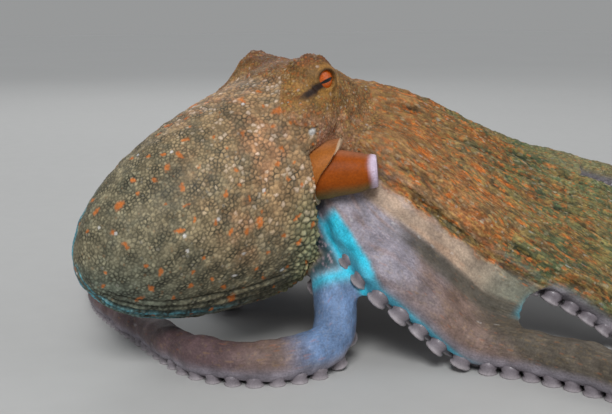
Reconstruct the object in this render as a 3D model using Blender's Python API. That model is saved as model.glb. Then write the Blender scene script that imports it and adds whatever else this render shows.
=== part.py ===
"""A common octopus, life size, resting with its head raised and its arms spread.

Metres, +Z up, +X the way the head faces, +Y its left. The origin is on the floor under the middle
of the whole footprint. Every arm follows one line that is worked out from its headings and heights.
"""

import math

import bmesh
import bpy
import numpy as np
from mathutils import Matrix, Vector

MM = 0.001
GAP = 0.3 * MM  # left between pieces that touch
BODY_SHIFT = Vector((-0.1855, 0.0113, 0.0))  # from the point under the crown to the footprint's middle

# The mantle is half an egg that droops behind the head.
MANTLE_LENGTH = 113 * MM
MANTLE_HALF_HEIGHT = 56 * MM
MANTLE_HALF_WIDTH = 46 * MM
MANTLE_MIDDLE_X = -8 * MM  # where the egg is widest
MANTLE_AXIS_HEIGHT = 86 * MM  # at its widest, and at its tip
MANTLE_TIP_HEIGHT = 57 * MM
MANTLE_RIM = (  # part of the way from the back round to the belly, and X in mm
    (0, -27), (0.15, -20), (0.3, -17), (0.5, -19), (0.62, -15), (0.72, -11), (0.81, -10), (0.88, -16),
    (1, -22),
)
MANTLE_WALL = 5 * MM
MANTLE_MOUTH_DEPTH = 15 * MM

# The head is these egg shapes melted together: centre and radii in mm.
HEAD_SHAPES = (
    ((4, 0, 112), (30, 29, 31)),  # the skull
    ((13, 0, 95), (27, 29, 28)),  # round the beak
    ((-14, 0, 112), (22, 26, 27)),  # the nape
    ((17, 0, 112), (20, 23, 23)),  # where the upper arms begin
    ((-5, -25, 137), (12.2, 11.8, 11.8)),  # round the right eye
    ((-5, 25, 137), (12.2, 11.8, 11.8)),
    ((-7, 0, 127), (17, 24, 15)),  # between the eyes
    ((-2, -14, 133), (12.5, 12, 12)),  # the inner slopes of the eye mounds
    ((-2, 14, 133), (12.5, 12, 12)),
    ((12, -13, 126), (18, 15, 13)),  # from the eyes to the crown
    ((12, 13, 126), (18, 15, 13)),
    ((-15, -25, 117), (19, 17, 17)),  # the neck's sides
    ((-15, 25, 117), (19, 17, 17)),
)
HEAD_MIDDLE = Vector((4, 0, 112)) * MM
HEAD_MELT = 9 * MM
HEAD_ROWS = 18
HEAD_COLUMNS = 28
EYE_APART = 50 * MM
EYE_X = -5 * MM
EYE_HEIGHT = 137 * MM
EYE_RADIUS = 9.5 * MM
EYE_LOOKS = Vector((0.16, 1.0, 0.10)).normalized()  # the left eye
EYE_OPENING = Vector((5.3, 4.9, 0)) * MM  # half width and half height between the lids

# The crown is the ring that the eight arms grow from, tipped down at the front round the mouth.
CROWN_CENTRE = Vector((12, 0, 92)) * MM
CROWN_RADIUS = 27 * MM
CROWN_TIP = math.radians(46)
CROWN_AXIS = Vector((0.60, 0, -0.80)).normalized()
LIP_RADIUS = 8 * MM
LIP_DEPTH = 7 * MM

ARM_TIP_RADIUS = 1.35 * MM
ARM_TAPER = 0.90
ORAL_FLATNESS = 0.66  # the side with the suckers, against the round back of the arm
STEP = 2 * MM  # between the points of an arm's worked-out line
ROUNDING = 40 * MM  # over which headings and heights are eased
FLOOR_BITE = 0.4 * MM  # how far what rests on the floor is cut flat

# Along each arm, in mm from the crown: (distance, heading in degrees from +X towards +Y),
# (distance, height) with the floor below zero, and (distance, roll in degrees) that turns the suckers up.
ARMS = {
    "arm_r4": {
        "ring": -157.5, "radius": 12.5, "length": 480, "cuts": (84, 210, 340),
        "headings": ((0, -80), (45, -86), (80, -176), (104, -186), (156, -276), (240, -270), (300, -292),
                     (380, -296), (425, -320), (480, -500)),
        "heights": ((0, 74), (18, 63), (45, 38), (62, 26), (82, 10), (100, -12)),
        "rolls": ((0, 0), (330, 0), (420, -25), (480, -40)),
    },
    "arm_r3": {
        "ring": -112.5, "radius": 14.0, "length": 575, "cuts": (132, 280, 420),
        "headings": ((0, -92), (30, -92), (58, -46), (90, -30), (122, -62), (155, -78), (210, -78),
                     (290, -52), (370, -84), (430, -10), (490, 150), (575, 480)),
        "heights": ((0, 82), (14, 70), (48, 50), (78, 30), (107, 13), (130, -10)),
        "rolls": ((0, 0), (380, 0), (470, 35), (575, 50)),
    },
    "arm_r2": {
        "ring": -67.5, "radius": 14.5, "length": 600, "cuts": (200, 330, 460),
        "headings": ((0, -52), (40, -42), (140, -36), (210, -44), (290, -14), (370, -36), (440, -100),
                     (520, -250), (600, -560)),
        "heights": ((0, 105), (25, 94), (60, 73), (105, 46), (155, 24), (200, -10)),
        "rolls": ((0, 0), (420, 0), (520, -35), (600, -50)),
    },
    "arm_r1": {
        "ring": -22.5, "radius": 13.5, "length": 600, "cuts": (226, 345, 470),
        "headings": ((0, -14), (60, -12), (200, -8), (330, 6), (420, -16), (480, -110), (540, -300),
                     (600, -560)),
        "heights": ((0, 124), (15, 120), (37, 112), (73, 98), (127, 76), (205, 52), (270, 26), (325, -14)),
        "rolls": ((0, 0), (430, 0), (520, -35), (600, -50)),
    },
    "arm_l1": {
        "ring": 22.5, "radius": 13.5, "length": 610, "cuts": (256, 370, 490),
        "headings": ((0, 10), (50, 6), (110, 10), (200, 4), (240, -8), (310, -8), (370, 30), (430, 50),
                     (480, 10), (535, -130), (610, -480)),
        "heights": ((0, 124), (20, 121), (50, 116), (95, 103), (165, 80), (215, 69), (275, 55), (330, 34),
                    (385, -12)),
        "rolls": ((0, 0), (430, 0), (530, -30), (610, -45)),
    },
    "arm_l2": {
        "ring": 67.5, "radius": 14.5, "length": 590, "cuts": (140, 290, 440),
        "headings": ((0, 54), (60, 40), (200, 30), (300, 46), (400, 44), (470, 88), (530, 240), (590, 490)),
        "heights": ((0, 105), (40, 92), (110, 56), (165, 24), (210, -10)),
        "rolls": ((0, 0), (420, 0), (520, 30), (590, 45)),
    },
    "arm_l3": {
        "ring": 112.5, "radius": 14.0, "length": 560, "cuts": (132, 280, 420),
        "headings": ((0, 98), (50, 62), (170, 46), (280, 58), (370, 52), (440, 0), (500, -150), (560, -390)),
        "heights": ((0, 82), (15, 74), (50, 54), (100, 24), (150, -10)),
        "rolls": ((0, 0), (380, 0), (470, -30), (560, -45)),
    },
    "arm_l4": {
        "ring": 157.5, "radius": 12.5, "length": 520, "cuts": (110, 250, 380),
        "headings": ((0, 92), (50, 95), (110, 80), (200, 54), (300, 66), (370, 100), (430, 215), (520, 510)),
        "heights": ((0, 74), (20, 58), (60, 28), (95, -10)),
        "rolls": ((0, 0), (350, 0), (450, 30), (520, 45)),
    },
}
ARM_SIDES = 8
TIP_SIDES = 6
RING_SPACING = 2.2  # rings along an arm, in its own radii there
RING_SPACING_RANGE = (8 * MM, 20 * MM)

SUCKER_SIDES = 5
SUCKER_RADIUS = 0.46  # of the arm's radius there, as are the next three
SUCKER_HEIGHT = 0.36
SUCKER_APART = 0.88
SUCKER_SPACING = 6.0  # from one to the next in the same row
SUCKER_START = 24 * MM
SUCKER_END = 22 * MM  # short of the arm's tip
SUCKER_SPACING_RANGE = (43 * MM, 58 * MM)

# Each web: how far along its two arms it reaches, the notch in its free edge, and its sag.
WEB_THICKNESS = 3 * MM
WEB_LIFT = 0.6  # of the arms' radii, above their middles
WEBS = {
    "web_r4_r3": {"arms": ("arm_r4", "arm_r3"), "reach": (56, 106), "notch": 0.08, "sag": -2},
    "web_r3_r2": {"arms": ("arm_r3", "arm_r2"), "reach": (128, 134), "notch": 0.12, "sag": 6},
    "web_r2_r1": {"arms": ("arm_r2", "arm_r1"), "reach": (190, 216), "notch": 0.10, "sag": -3},
    "web_r1_l1": {"arms": ("arm_r1", "arm_l1"), "reach": (206, 246), "notch": 0.12, "sag": 7},
    "web_l1_l2": {"arms": ("arm_l1", "arm_l2"), "reach": (136, 134), "notch": 0.20, "sag": 8},
    "web_l2_l3": {"arms": ("arm_l2", "arm_l3"), "reach": (134, 128), "notch": 0.20, "sag": 8},
    "web_l3_l4": {"arms": ("arm_l3", "arm_l4"), "reach": (126, 104), "notch": 0.20, "sag": 6},
    "web_l4_r4": {"arms": ("arm_l4", "arm_r4"), "reach": (60, 46), "notch": 0.30, "sag": 2},
}
WEB_SOLVERS = {"web_l4_r4": "MANIFOLD"}  # the exact solver leaves three open edges in this web
WEB_ROWS = 7
WEB_COLUMNS = 5

# The funnel, from inside the mantle's edge to its open tip, in mm: a wide collar and then the tube.
FUNNEL_LINE = (
    (-19, -24, 88), (-9, -31, 91), (-4, -35, 92), (-2, -37, 92.5), (5.3, -44.7, 93), (13, -51.5, 94),
)
FUNNEL_RADII = (12.5, 14.8, 14.4, 11.8, 10.2, 7.8)
FUNNEL_SIDES = 14
FUNNEL_BORE = 5.6 * MM
FUNNEL_BORE_DEPTH = 20 * MM

SKIN_COLOURS = {
    "mantle_skin": (0.30, 0.24, 0.14),
    "head_skin": (0.42, 0.24, 0.11),
    "arm_skin": (0.43, 0.22, 0.10),
    "web_skin": (0.42, 0.40, 0.38),
    "funnel_skin": (0.45, 0.17, 0.04),
    "eye": (0.60, 0.20, 0.04),
}


def material(name):
    found = bpy.data.materials.get(name)
    if found:
        return found
    made = bpy.data.materials.new(name)
    made.use_nodes = True
    shader = made.node_tree.nodes["Principled BSDF"]
    shader.inputs["Base Color"].default_value = (*SKIN_COLOURS[name], 1)
    shader.inputs["Roughness"].default_value = 0.15 if name == "eye" else 0.45
    shader.inputs["Metallic"].default_value = 0
    return made


def eased(values, width):
    """Runs a moving average over evenly spaced values, twice, with the ends held."""
    span = max(1, int(width / STEP / 2))
    kernel = np.ones(2 * span + 1) / (2 * span + 1)
    for _ in range(2):
        first = 2 * values[0] - values[span:0:-1]
        last = 2 * values[-1] - values[-2:-span - 2:-1]
        values = np.convolve(np.concatenate([first, values, last]), kernel, mode="valid")
    return values


def smooth_max(a, b, width):
    near = np.maximum(width - np.abs(a - b), 0) / width
    return np.maximum(a, b) + near * near * width / 4


def section(sides):
    """An arm's section about its middle: across and up, in radii, flatter on the sucker side."""
    turn = 2 * np.pi * (np.arange(sides) + 0.5) / sides
    across, up = np.sin(turn), np.cos(turn)
    return across, np.where(up < 0, up * ORAL_FLATNESS, up)


def resting_height(roll):
    """How far an arm's middle stands above the floor it lies on, in radii, at a roll in radians."""
    across, up = section(ARM_SIDES)
    rim_up = -(ORAL_FLATNESS + SUCKER_HEIGHT)
    rim_across = SUCKER_APART / 2 + SUCKER_RADIUS
    across = np.concatenate([across, [-rim_across, rim_across]])
    up = np.concatenate([up, [rim_up, rim_up]])
    below = -(np.outer(np.cos(roll), up) + np.outer(np.sin(roll), across))
    return below.max(axis=1)


def make_room(lines):
    """Narrows the arms where they crowd together at the crown, so that neighbours only touch."""
    names = list(lines)
    most = {}
    for name in names:
        most[name] = np.full(len(lines[name].along), 1.0)
        for other in names:
            if other == name:
                continue
            apart = lines[name].points[:, None, :] - lines[other].points[None, :100, :]
            nearest = np.linalg.norm(apart, axis=2).min(axis=1)
            most[name] = np.minimum(most[name], nearest / 2 - GAP)
    for name in names:
        line = lines[name]
        line.radius = -smooth_max(-line.radius, -most[name], 2 * MM)


class ArmLine:
    """The line down the middle of an arm, with its radius and its directions at each point."""

    def __init__(self, name):
        plan = ARMS[name]
        self.length = plan["length"] * MM
        self.along = np.arange(0, self.length + STEP / 2, STEP)
        left = 1 - self.along / self.length
        self.radius = ARM_TIP_RADIUS + (plan["radius"] * MM - ARM_TIP_RADIUS) * left ** ARM_TAPER
        heading = np.radians(self.follow(plan["headings"], 1.0))
        roll = np.radians(self.follow(plan["rolls"], 1.0))
        height = self.follow(plan["heights"], MM)
        height = smooth_max(height, resting_height(roll) * self.radius - FLOOR_BITE, 9 * MM)
        level = np.sqrt(np.maximum(STEP ** 2 - np.gradient(height) ** 2, (0.3 * STEP) ** 2))
        ring = math.radians(plan["ring"])
        outward = Vector((math.cos(ring) * math.cos(CROWN_TIP), math.sin(ring), 0))
        start = CROWN_CENTRE + CROWN_RADIUS * outward
        x = start.x + np.concatenate([[0], np.cumsum(np.cos(heading[:-1]) * level[:-1])])
        y = start.y + np.concatenate([[0], np.cumsum(np.sin(heading[:-1]) * level[:-1])])
        self.points = np.stack([x, y, height], axis=1) + np.array(BODY_SHIFT)
        tangent = np.gradient(self.points, axis=0)
        self.tangent = tangent / np.linalg.norm(tangent, axis=1)[:, None]
        left = np.cross([0.0, 0.0, 1.0], self.tangent)
        left /= np.linalg.norm(left, axis=1)[:, None]
        up = np.cross(self.tangent, left)
        cos, sin = np.cos(roll)[:, None], np.sin(roll)[:, None]
        self.across = left * cos + up * sin
        self.up = up * cos - left * sin

    def follow(self, knots, unit):
        places, values = zip(*knots)
        return eased(np.interp(self.along, np.array(places) * MM, np.array(values) * unit), ROUNDING)

    def at(self, distance):
        """Middle, across, up, tangent and radius at a distance from the crown."""
        found = []
        for values in (self.points, self.across, self.up, self.tangent):
            mixed = np.array([np.interp(distance, self.along, values[:, i]) for i in range(3)])
            found.append(Vector(mixed))
        for i in (1, 2, 3):
            found[i].normalize()
        return (*found, float(np.interp(distance, self.along, self.radius)))


def mesh_object(name, verts, faces, skin, smooth=True):
    mesh = bpy.data.meshes.new(name)
    mesh.from_pydata([tuple(v) for v in verts], [], faces)
    made = bpy.data.objects.new(name, mesh)
    bpy.context.scene.collection.objects.link(made)
    work = bmesh.new()
    work.from_mesh(mesh)
    bmesh.ops.recalc_face_normals(work, faces=work.faces)
    work.to_mesh(mesh)
    work.free()
    mesh.materials.append(material(skin))
    if smooth:
        mesh.shade_smooth()
    return made


def ring_faces(rings, sides, first=0):
    faces = []
    for ring in range(rings - 1):
        for side in range(sides):
            a = first + ring * sides + side
            b = first + ring * sides + (side + 1) % sides
            faces.append((a, b, b + sides))
            faces.append((a, b + sides, a + sides))
    return faces


def tube(name, rings, skin, tip=None):
    """Joins rings of points into a closed tube. A tip point closes the far end in a cone."""
    sides = len(rings[0])
    verts = [p for ring in rings for p in ring]
    faces = ring_faces(len(rings), sides)
    faces.append(tuple(reversed(range(sides))))
    last = (len(rings) - 1) * sides
    if tip is None:
        faces.append(tuple(range(last, last + sides)))
    else:
        verts.append(tip)
        faces += [(last + i, last + (i + 1) % sides, len(verts) - 1) for i in range(sides)]
    return mesh_object(name, verts, faces, skin)


def grown(obj, by):
    """A copy pushed out along its normals, for cutting its place out of a neighbour."""
    copy = obj.copy()
    copy.data = obj.data.copy()
    bpy.context.scene.collection.objects.link(copy)
    work = bmesh.new()
    work.from_mesh(copy.data)
    work.normal_update()
    for vert in work.verts:
        vert.co += vert.normal * by * vert.calc_shell_factor()
    work.to_mesh(copy.data)
    work.free()
    copy.name = obj.name + "_grown"
    return copy


def apply_boolean(obj, others, operation, solver="EXACT"):
    """One Boolean with a collection of closed meshes, applied, with the others then removed."""
    helpers = bpy.data.collections.new("helpers")
    for other in others:
        helpers.objects.link(other)
    cut = obj.modifiers.new("join", "BOOLEAN")
    cut.operation = operation
    cut.solver = solver
    cut.operand_type = "COLLECTION"
    cut.collection = helpers
    graph = bpy.context.evaluated_depsgraph_get()
    graph.update()
    result = bpy.data.meshes.new_from_object(obj.evaluated_get(graph))
    obj.modifiers.clear()
    old = obj.data
    obj.data = result
    bpy.data.meshes.remove(old)
    for other in list(helpers.objects):
        bpy.data.objects.remove(other)
    bpy.data.collections.remove(helpers)


def keep_largest(obj):
    """Keeps only the closed surface that holds the most."""
    work = bmesh.new()
    work.from_mesh(obj.data)
    bmesh.ops.triangulate(work, faces=work.faces)
    left = set(work.faces)
    shells = []
    while left:
        shell, queue = set(), [left.pop()]
        while queue:
            face = queue.pop()
            shell.add(face)
            for edge in face.edges:
                for other in edge.link_faces:
                    if other in left:
                        left.discard(other)
                        queue.append(other)
        volume = sum(f.verts[0].co.dot(f.verts[1].co.cross(f.verts[2].co)) for f in shell) / 6
        shells.append((abs(volume), shell))
    shells.sort(key=lambda s: s[0])
    for _, shell in shells[:-1]:
        bmesh.ops.delete(work, geom=list(shell), context="FACES")
    loose = [v for v in work.verts if not v.link_faces]
    bmesh.ops.delete(work, geom=loose, context="VERTS")
    work.to_mesh(obj.data)
    work.free()


def box(name, low, high):
    made = mesh_object(
        name,
        [(x, y, z) for x in (low[0], high[0]) for y in (low[1], high[1]) for z in (low[2], high[2])],
        [(0, 1, 3, 2), (4, 6, 7, 5), (0, 4, 5, 1), (2, 3, 7, 6), (0, 2, 6, 4), (1, 5, 7, 3)],
        "mantle_skin",
    )
    return made


def trim_to_floor(obj):
    if min(v.co.z for v in obj.data.vertices) < 0:
        apply_boolean(obj, [box("floor", (-1, -1, -0.1), (1, 1, 0))], "DIFFERENCE")


def arm_rings(line, start, end, sides=ARM_SIDES):
    across, up = section(sides)
    rings, distance = [], start
    places = [start]
    while distance < end:
        radius = line.at(distance)[4]
        distance += min(max(RING_SPACING * radius, RING_SPACING_RANGE[0]), RING_SPACING_RANGE[1])
        places.append(distance)
    stretch = (end - start) / (places[-1] - start)
    for place in places:
        middle, side, back, _, radius = line.at(start + (place - start) * stretch)
        rings.append([middle + (side * a + back * u) * radius for a, u in zip(across, up)])
    return rings


def sucker(line, distance, hand):
    """One cup on a short stalk, with its root sunk in the arm."""
    middle, side, back, tangent, radius = line.at(distance)
    place = middle + side * hand * SUCKER_APART / 2 * radius
    rows = (  # out from the stalk, and down from the arm's middle
        (0.60, -0.30),
        (1.00, -ORAL_FLATNESS - SUCKER_HEIGHT),
    )
    rings = []
    for out, up in rows:
        turns = [2 * math.pi * i / SUCKER_SIDES for i in range(SUCKER_SIDES)]
        reach = out * SUCKER_RADIUS * radius
        rings.append(
            [place + back * up * radius + (tangent * math.cos(t) + side * math.sin(t)) * reach for t in turns]
        )
    bottom = place - back * (ORAL_FLATNESS + SUCKER_HEIGHT * 0.45) * radius
    return tube("sucker", rings, "arm_skin", tip=bottom)


def sucker_places(line):
    places, distance, hand = [], SUCKER_START, 1
    while distance < line.length - SUCKER_END:
        places.append((distance, hand))
        gap = SUCKER_SPACING * line.at(distance)[4]
        distance += min(max(gap, SUCKER_SPACING_RANGE[0]), SUCKER_SPACING_RANGE[1]) / 2
        hand = -hand
    return places


def suckers(line, start, end):
    """The suckers of one length of an arm, none of them across its ends."""
    cups = []
    for distance, hand in sucker_places(line):
        reach = SUCKER_RADIUS * line.at(distance)[4] + GAP
        if start < distance < end:
            cups.append(sucker(line, min(max(distance, start + reach), end - reach), hand))
    return cups


def arm_room(name, line):
    """The space that an arm's first length and its suckers need, for cutting out of a web."""
    end = ARMS[name]["cuts"][0] * MM
    whole = tube(name, arm_rings(line, 0, end - GAP / 2), "arm_skin")
    room = grown(whole, GAP)
    bpy.data.objects.remove(whole)
    cups = suckers(line, 0, end)
    apply_boolean(room, [grown(cup, GAP) for cup in cups], "UNION")
    for cup in cups:
        bpy.data.objects.remove(cup)
    return room


def make_arm(name, line, rooms):
    """The lengths of one arm, root to tip, each with the suckers that grow on it."""
    cuts = [c * MM for c in ARMS[name]["cuts"]]
    ends = [(0, cuts[0]), (cuts[0], cuts[1]), (cuts[1], cuts[2]), (cuts[2], line.length)]
    labels = ("base", "mid", "outer", "tip")
    lengths = []
    for label, (start, end) in zip(labels, ends):
        first = start + (GAP / 2 if start else 0)
        last = end - GAP / 2
        tip = line.at(line.length)[0] + line.at(line.length)[3] * 1.2 * MM if label == "tip" else None
        sides = TIP_SIDES if label == "tip" else ARM_SIDES
        piece = tube(f"{name}_{label}", arm_rings(line, first, last, sides), "arm_skin", tip)
        apply_boolean(piece, suckers(line, start, end), "UNION")
        if label == "base":
            for room in rooms:
                apply_boolean(piece, [duplicate(room)], "DIFFERENCE")
        trim_to_floor(piece)
        keep_largest(piece)
        lengths.append(piece)
    return lengths


def duplicate(obj):
    copy = obj.copy()
    copy.data = obj.data.copy()
    bpy.context.scene.collection.objects.link(copy)
    return copy


def web_middle(plan, lines, row, column):
    """A point half way through a web, with rows out from the crown and columns from arm to arm."""
    one, two = (lines[a] for a in plan["arms"])
    q = column / (WEB_COLUMNS - 1)
    bow = math.sin(math.pi * q)
    far = (0.06 + 0.94 * row / (WEB_ROWS - 1)) * (1 - plan["notch"] * bow)
    a, _, up_a, _, radius_a = one.at(far * plan["reach"][0] * MM)
    b, _, up_b, _, radius_b = two.at(far * plan["reach"][1] * MM)
    up = up_a * (1 - q) + up_b * q
    lift = (radius_a * (1 - q) + radius_b * q) * WEB_LIFT
    return a.lerp(b, q) + up * (lift - plan["sag"] * MM * bow * far)


def make_web(name, lines, rooms):
    plan = WEBS[name]
    middles = np.array([
        [web_middle(plan, lines, row, column) for column in range(WEB_COLUMNS)] for row in range(WEB_ROWS)
    ])
    outward = np.gradient(middles, axis=0)
    sideways = np.gradient(middles, axis=1)
    normals = np.cross(sideways, outward)
    normals *= WEB_THICKNESS / 2 / np.linalg.norm(normals, axis=2)[:, :, None]
    top = [Vector(p) for p in (middles + normals).reshape(-1, 3)]
    bottom = [Vector(p) for p in (middles - normals).reshape(-1, 3)]
    verts = top + bottom
    count = len(top)
    faces = []
    for row in range(WEB_ROWS - 1):
        for column in range(WEB_COLUMNS - 1):
            a = row * WEB_COLUMNS + column
            quad = (a, a + 1, a + WEB_COLUMNS + 1, a + WEB_COLUMNS)
            for tri in ((0, 1, 2), (0, 2, 3)):  # the same split on both faces
                corners = tuple(quad[i] for i in tri)
                faces.append(corners)
                faces.append(tuple(c + count for c in reversed(corners)))
    border = [c for c in range(WEB_COLUMNS)]
    border += [r * WEB_COLUMNS + WEB_COLUMNS - 1 for r in range(1, WEB_ROWS)]
    border += [(WEB_ROWS - 1) * WEB_COLUMNS + c for c in range(WEB_COLUMNS - 2, -1, -1)]
    border += [r * WEB_COLUMNS for r in range(WEB_ROWS - 2, 0, -1)]
    for here, after in zip(border, border[1:] + border[:1]):
        faces.append((here, after, after + count, here + count))
    web = mesh_object(name, verts, faces, "web_skin")
    for room in rooms:
        apply_boolean(web, [duplicate(room)], "DIFFERENCE", WEB_SOLVERS.get(name, "EXACT"))
    keep_largest(web)
    return web


def egg_distance(point, centre, radii):
    scaled = [(point[i] - centre[i] * MM) / (radii[i] * MM) for i in range(3)]
    size = math.sqrt(sum(v * v for v in scaled))
    return (size - 1) * min(radii) * MM


def head_distance(point):
    """How far a point is outside the head's melted shapes, roughly."""
    total = None
    for centre, radii in HEAD_SHAPES:
        here = egg_distance(point, centre, radii)
        if total is None:
            total = here
        else:
            near = max(HEAD_MELT - abs(total - here), 0) / HEAD_MELT
            total = min(total, here) - near * near * HEAD_MELT / 4
    return total


def head_reach(direction):
    """From the head's middle out to its skin."""
    reach = 90 * MM
    while head_distance(HEAD_MIDDLE + direction * reach) > 0:
        reach -= 1 * MM
    low, high = reach, reach + 1 * MM
    for _ in range(12):
        middle = (low + high) / 2
        if head_distance(HEAD_MIDDLE + direction * middle) > 0:
            high = middle
        else:
            low = middle
    return low


def round_grid(name, centre, reach, rows, columns, skin):
    """A ball of quads about the Z axis, with the reach of each direction given."""
    verts = [centre + Vector((0, 0, 1)) * reach(Vector((0, 0, 1)))]
    for row in range(1, rows):
        tilt = math.pi * row / rows
        for column in range(columns):
            turn = 2 * math.pi * column / columns
            level = math.sin(tilt)
            direction = Vector((level * math.cos(turn), level * math.sin(turn), math.cos(tilt)))
            verts.append(centre + direction * reach(direction))
    verts.append(centre + Vector((0, 0, -1)) * reach(Vector((0, 0, -1))))
    faces = ring_faces(rows - 1, columns, first=1)
    last = len(verts) - 1
    for column in range(columns):
        after = (column + 1) % columns
        faces.append((0, 1 + column, 1 + after))
        faces.append((last, last - columns + after, last - columns + column))
    return mesh_object(name, verts, faces, skin)


def eye_centre(hand):
    return Vector((EYE_X, hand * EYE_APART / 2, EYE_HEIGHT)) + BODY_SHIFT


def looking(hand):
    return Vector((EYE_LOOKS.x, hand * EYE_LOOKS.y, EYE_LOOKS.z))


def make_ball(name, centre, radius, skin, rows=8, columns=12):
    ball = round_grid(name, Vector((0, 0, 0)), lambda _: radius, rows, columns, skin)
    ball.data.transform(Matrix.Translation(centre))
    return ball


def plain_head(name):
    return round_grid(name, HEAD_MIDDLE + BODY_SHIFT, head_reach, HEAD_ROWS, HEAD_COLUMNS, "head_skin")


def make_head():
    head = plain_head("head")
    cutters = []
    lips = CROWN_CENTRE + BODY_SHIFT
    while head_distance(lips - BODY_SHIFT) < 0:
        lips += CROWN_AXIS * MM
    across = CROWN_AXIS.cross(Vector((0, 1, 0)))
    rings = []
    for deep, wide in ((-2, 1.15), (0.6, 0.8)):
        middle = lips - CROWN_AXIS * deep * MM
        turns = [2 * math.pi * i / 10 for i in range(10)]
        out = [Vector((0, 1, 0)) * math.cos(t) + across * math.sin(t) for t in turns]
        rings.append([middle + o * LIP_RADIUS * wide for o in out])
    cutters.append(tube("mouth", rings, "head_skin", tip=lips - CROWN_AXIS * LIP_DEPTH))
    for hand in (-1, 1):
        look = looking(hand)
        flat = look.cross(Vector((0, 0, 1))).normalized()
        upright = flat.cross(look)
        centre = eye_centre(hand)
        cutters.append(make_ball("socket", centre, EYE_RADIUS + GAP, "eye"))
        rings = []
        for away, wide in ((0.35, 0.80), (1.9, 1.7)):
            middle = centre + look * EYE_RADIUS * away
            rings.append([
                middle
                + flat * math.cos(2 * math.pi * i / 12) * EYE_OPENING.x * wide
                + upright * math.sin(2 * math.pi * i / 12) * EYE_OPENING.y * wide
                for i in range(12)
            ])
        cutters.append(tube("lid_opening", rings, "eye"))
    for cutter in cutters:
        apply_boolean(head, [cutter], "DIFFERENCE")
    keep_largest(head)
    return head


def mantle_rim(turn):
    """How far forward the mantle's edge comes, at a turn from the back round to the belly."""
    places, rims = zip(*MANTLE_RIM)
    return float(np.interp(abs(turn) / math.pi, places, rims)) * MM


def mantle_point(x, turn, scale=1.0):
    reach = (MANTLE_MIDDLE_X - x) / MANTLE_LENGTH
    size = math.sqrt(max(1 - reach * reach, 0)) * scale
    axis = MANTLE_AXIS_HEIGHT + (MANTLE_TIP_HEIGHT - MANTLE_AXIS_HEIGHT) * reach
    wide = math.sin(turn) * MANTLE_HALF_WIDTH * size
    tall = math.cos(turn) * MANTLE_HALF_HEIGHT * size
    return Vector((x, wide, axis + tall))


def make_mantle(head_room):
    """An egg, open at the front: the wall turns in at its edge to a shallow mouth round the neck."""
    sides, rows = 30, 13
    turns = [2 * math.pi * i / sides - math.pi for i in range(sides)]
    rings = []
    tip_x = MANTLE_MIDDLE_X - MANTLE_LENGTH
    for row in range(1, rows):
        sweep = math.pi / 2 * (1 - row / (rows - 1))
        ring = []
        for turn in turns:
            rim = mantle_rim(turn)
            full = math.asin(min(1, (rim - MANTLE_MIDDLE_X) / MANTLE_LENGTH))
            angle = sweep + (sweep / (math.pi / 2) - 1) * full
            ring.append(mantle_point(MANTLE_MIDDLE_X - MANTLE_LENGTH * math.sin(angle), turn))
        rings.append(ring)
    inner = 1 - MANTLE_WALL / MANTLE_HALF_WIDTH
    for deep, scale in ((-1.2 * MM, (1 + inner) / 2), (3 * MM, inner), (MANTLE_MOUTH_DEPTH, inner - 0.06)):
        rings.append([mantle_point(mantle_rim(t) - deep, t, scale) for t in turns])
    verts = [p for ring in rings for p in ring]
    faces = ring_faces(len(rings), sides)
    verts.append(mantle_point(tip_x, 0))
    faces += [(i, (i + 1) % sides, len(verts) - 1) for i in range(sides)]
    last = (len(rings) - 1) * sides
    verts.append(sum((Vector(p) for p in rings[-1]), Vector()) / sides)
    faces += [(last + i, last + (i + 1) % sides, len(verts) - 1) for i in range(sides)]
    mantle = mesh_object("mantle", [v + BODY_SHIFT for v in verts], faces, "mantle_skin")
    apply_boolean(mantle, [duplicate(head_room)], "DIFFERENCE")
    keep_largest(mantle)
    return mantle


def make_funnel(head_room, mantle_room):
    """A bent tube with a wide collar, open at its tip."""
    points = [Vector(p) * MM + BODY_SHIFT for p in FUNNEL_LINE]

    def ring(i, radius, middle):
        ahead = (points[min(i + 1, len(points) - 1)] - points[max(i - 1, 0)]).normalized()
        side = ahead.cross(Vector((0, 0, 1))).normalized()
        upright = side.cross(ahead)
        turns = [2 * math.pi * k / FUNNEL_SIDES for k in range(FUNNEL_SIDES)]
        return [middle + (side * math.cos(t) + upright * math.sin(t)) * radius for t in turns]

    rings = [ring(i, FUNNEL_RADII[i] * MM, points[i]) for i in range(len(points))]
    funnel = tube("funnel", rings, "funnel_skin")
    last = len(points) - 1
    ahead = (points[last] - points[last - 1]).normalized()
    bore = [
        ring(last, FUNNEL_BORE * 1.15, points[last] + ahead * 2 * MM),
        ring(last, FUNNEL_BORE, points[last] - ahead * 2 * MM),
        ring(last - 1, FUNNEL_BORE * 0.8, points[last] - ahead * FUNNEL_BORE_DEPTH * 0.7),
    ]
    end = points[last] - ahead * FUNNEL_BORE_DEPTH
    whole = duplicate(funnel)
    apply_boolean(funnel, [tube("bore", bore, "funnel_skin", tip=end)], "DIFFERENCE")
    for room in (head_room, mantle_room):
        apply_boolean(funnel, [duplicate(room)], "DIFFERENCE")
    keep_largest(funnel)
    return whole


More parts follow.
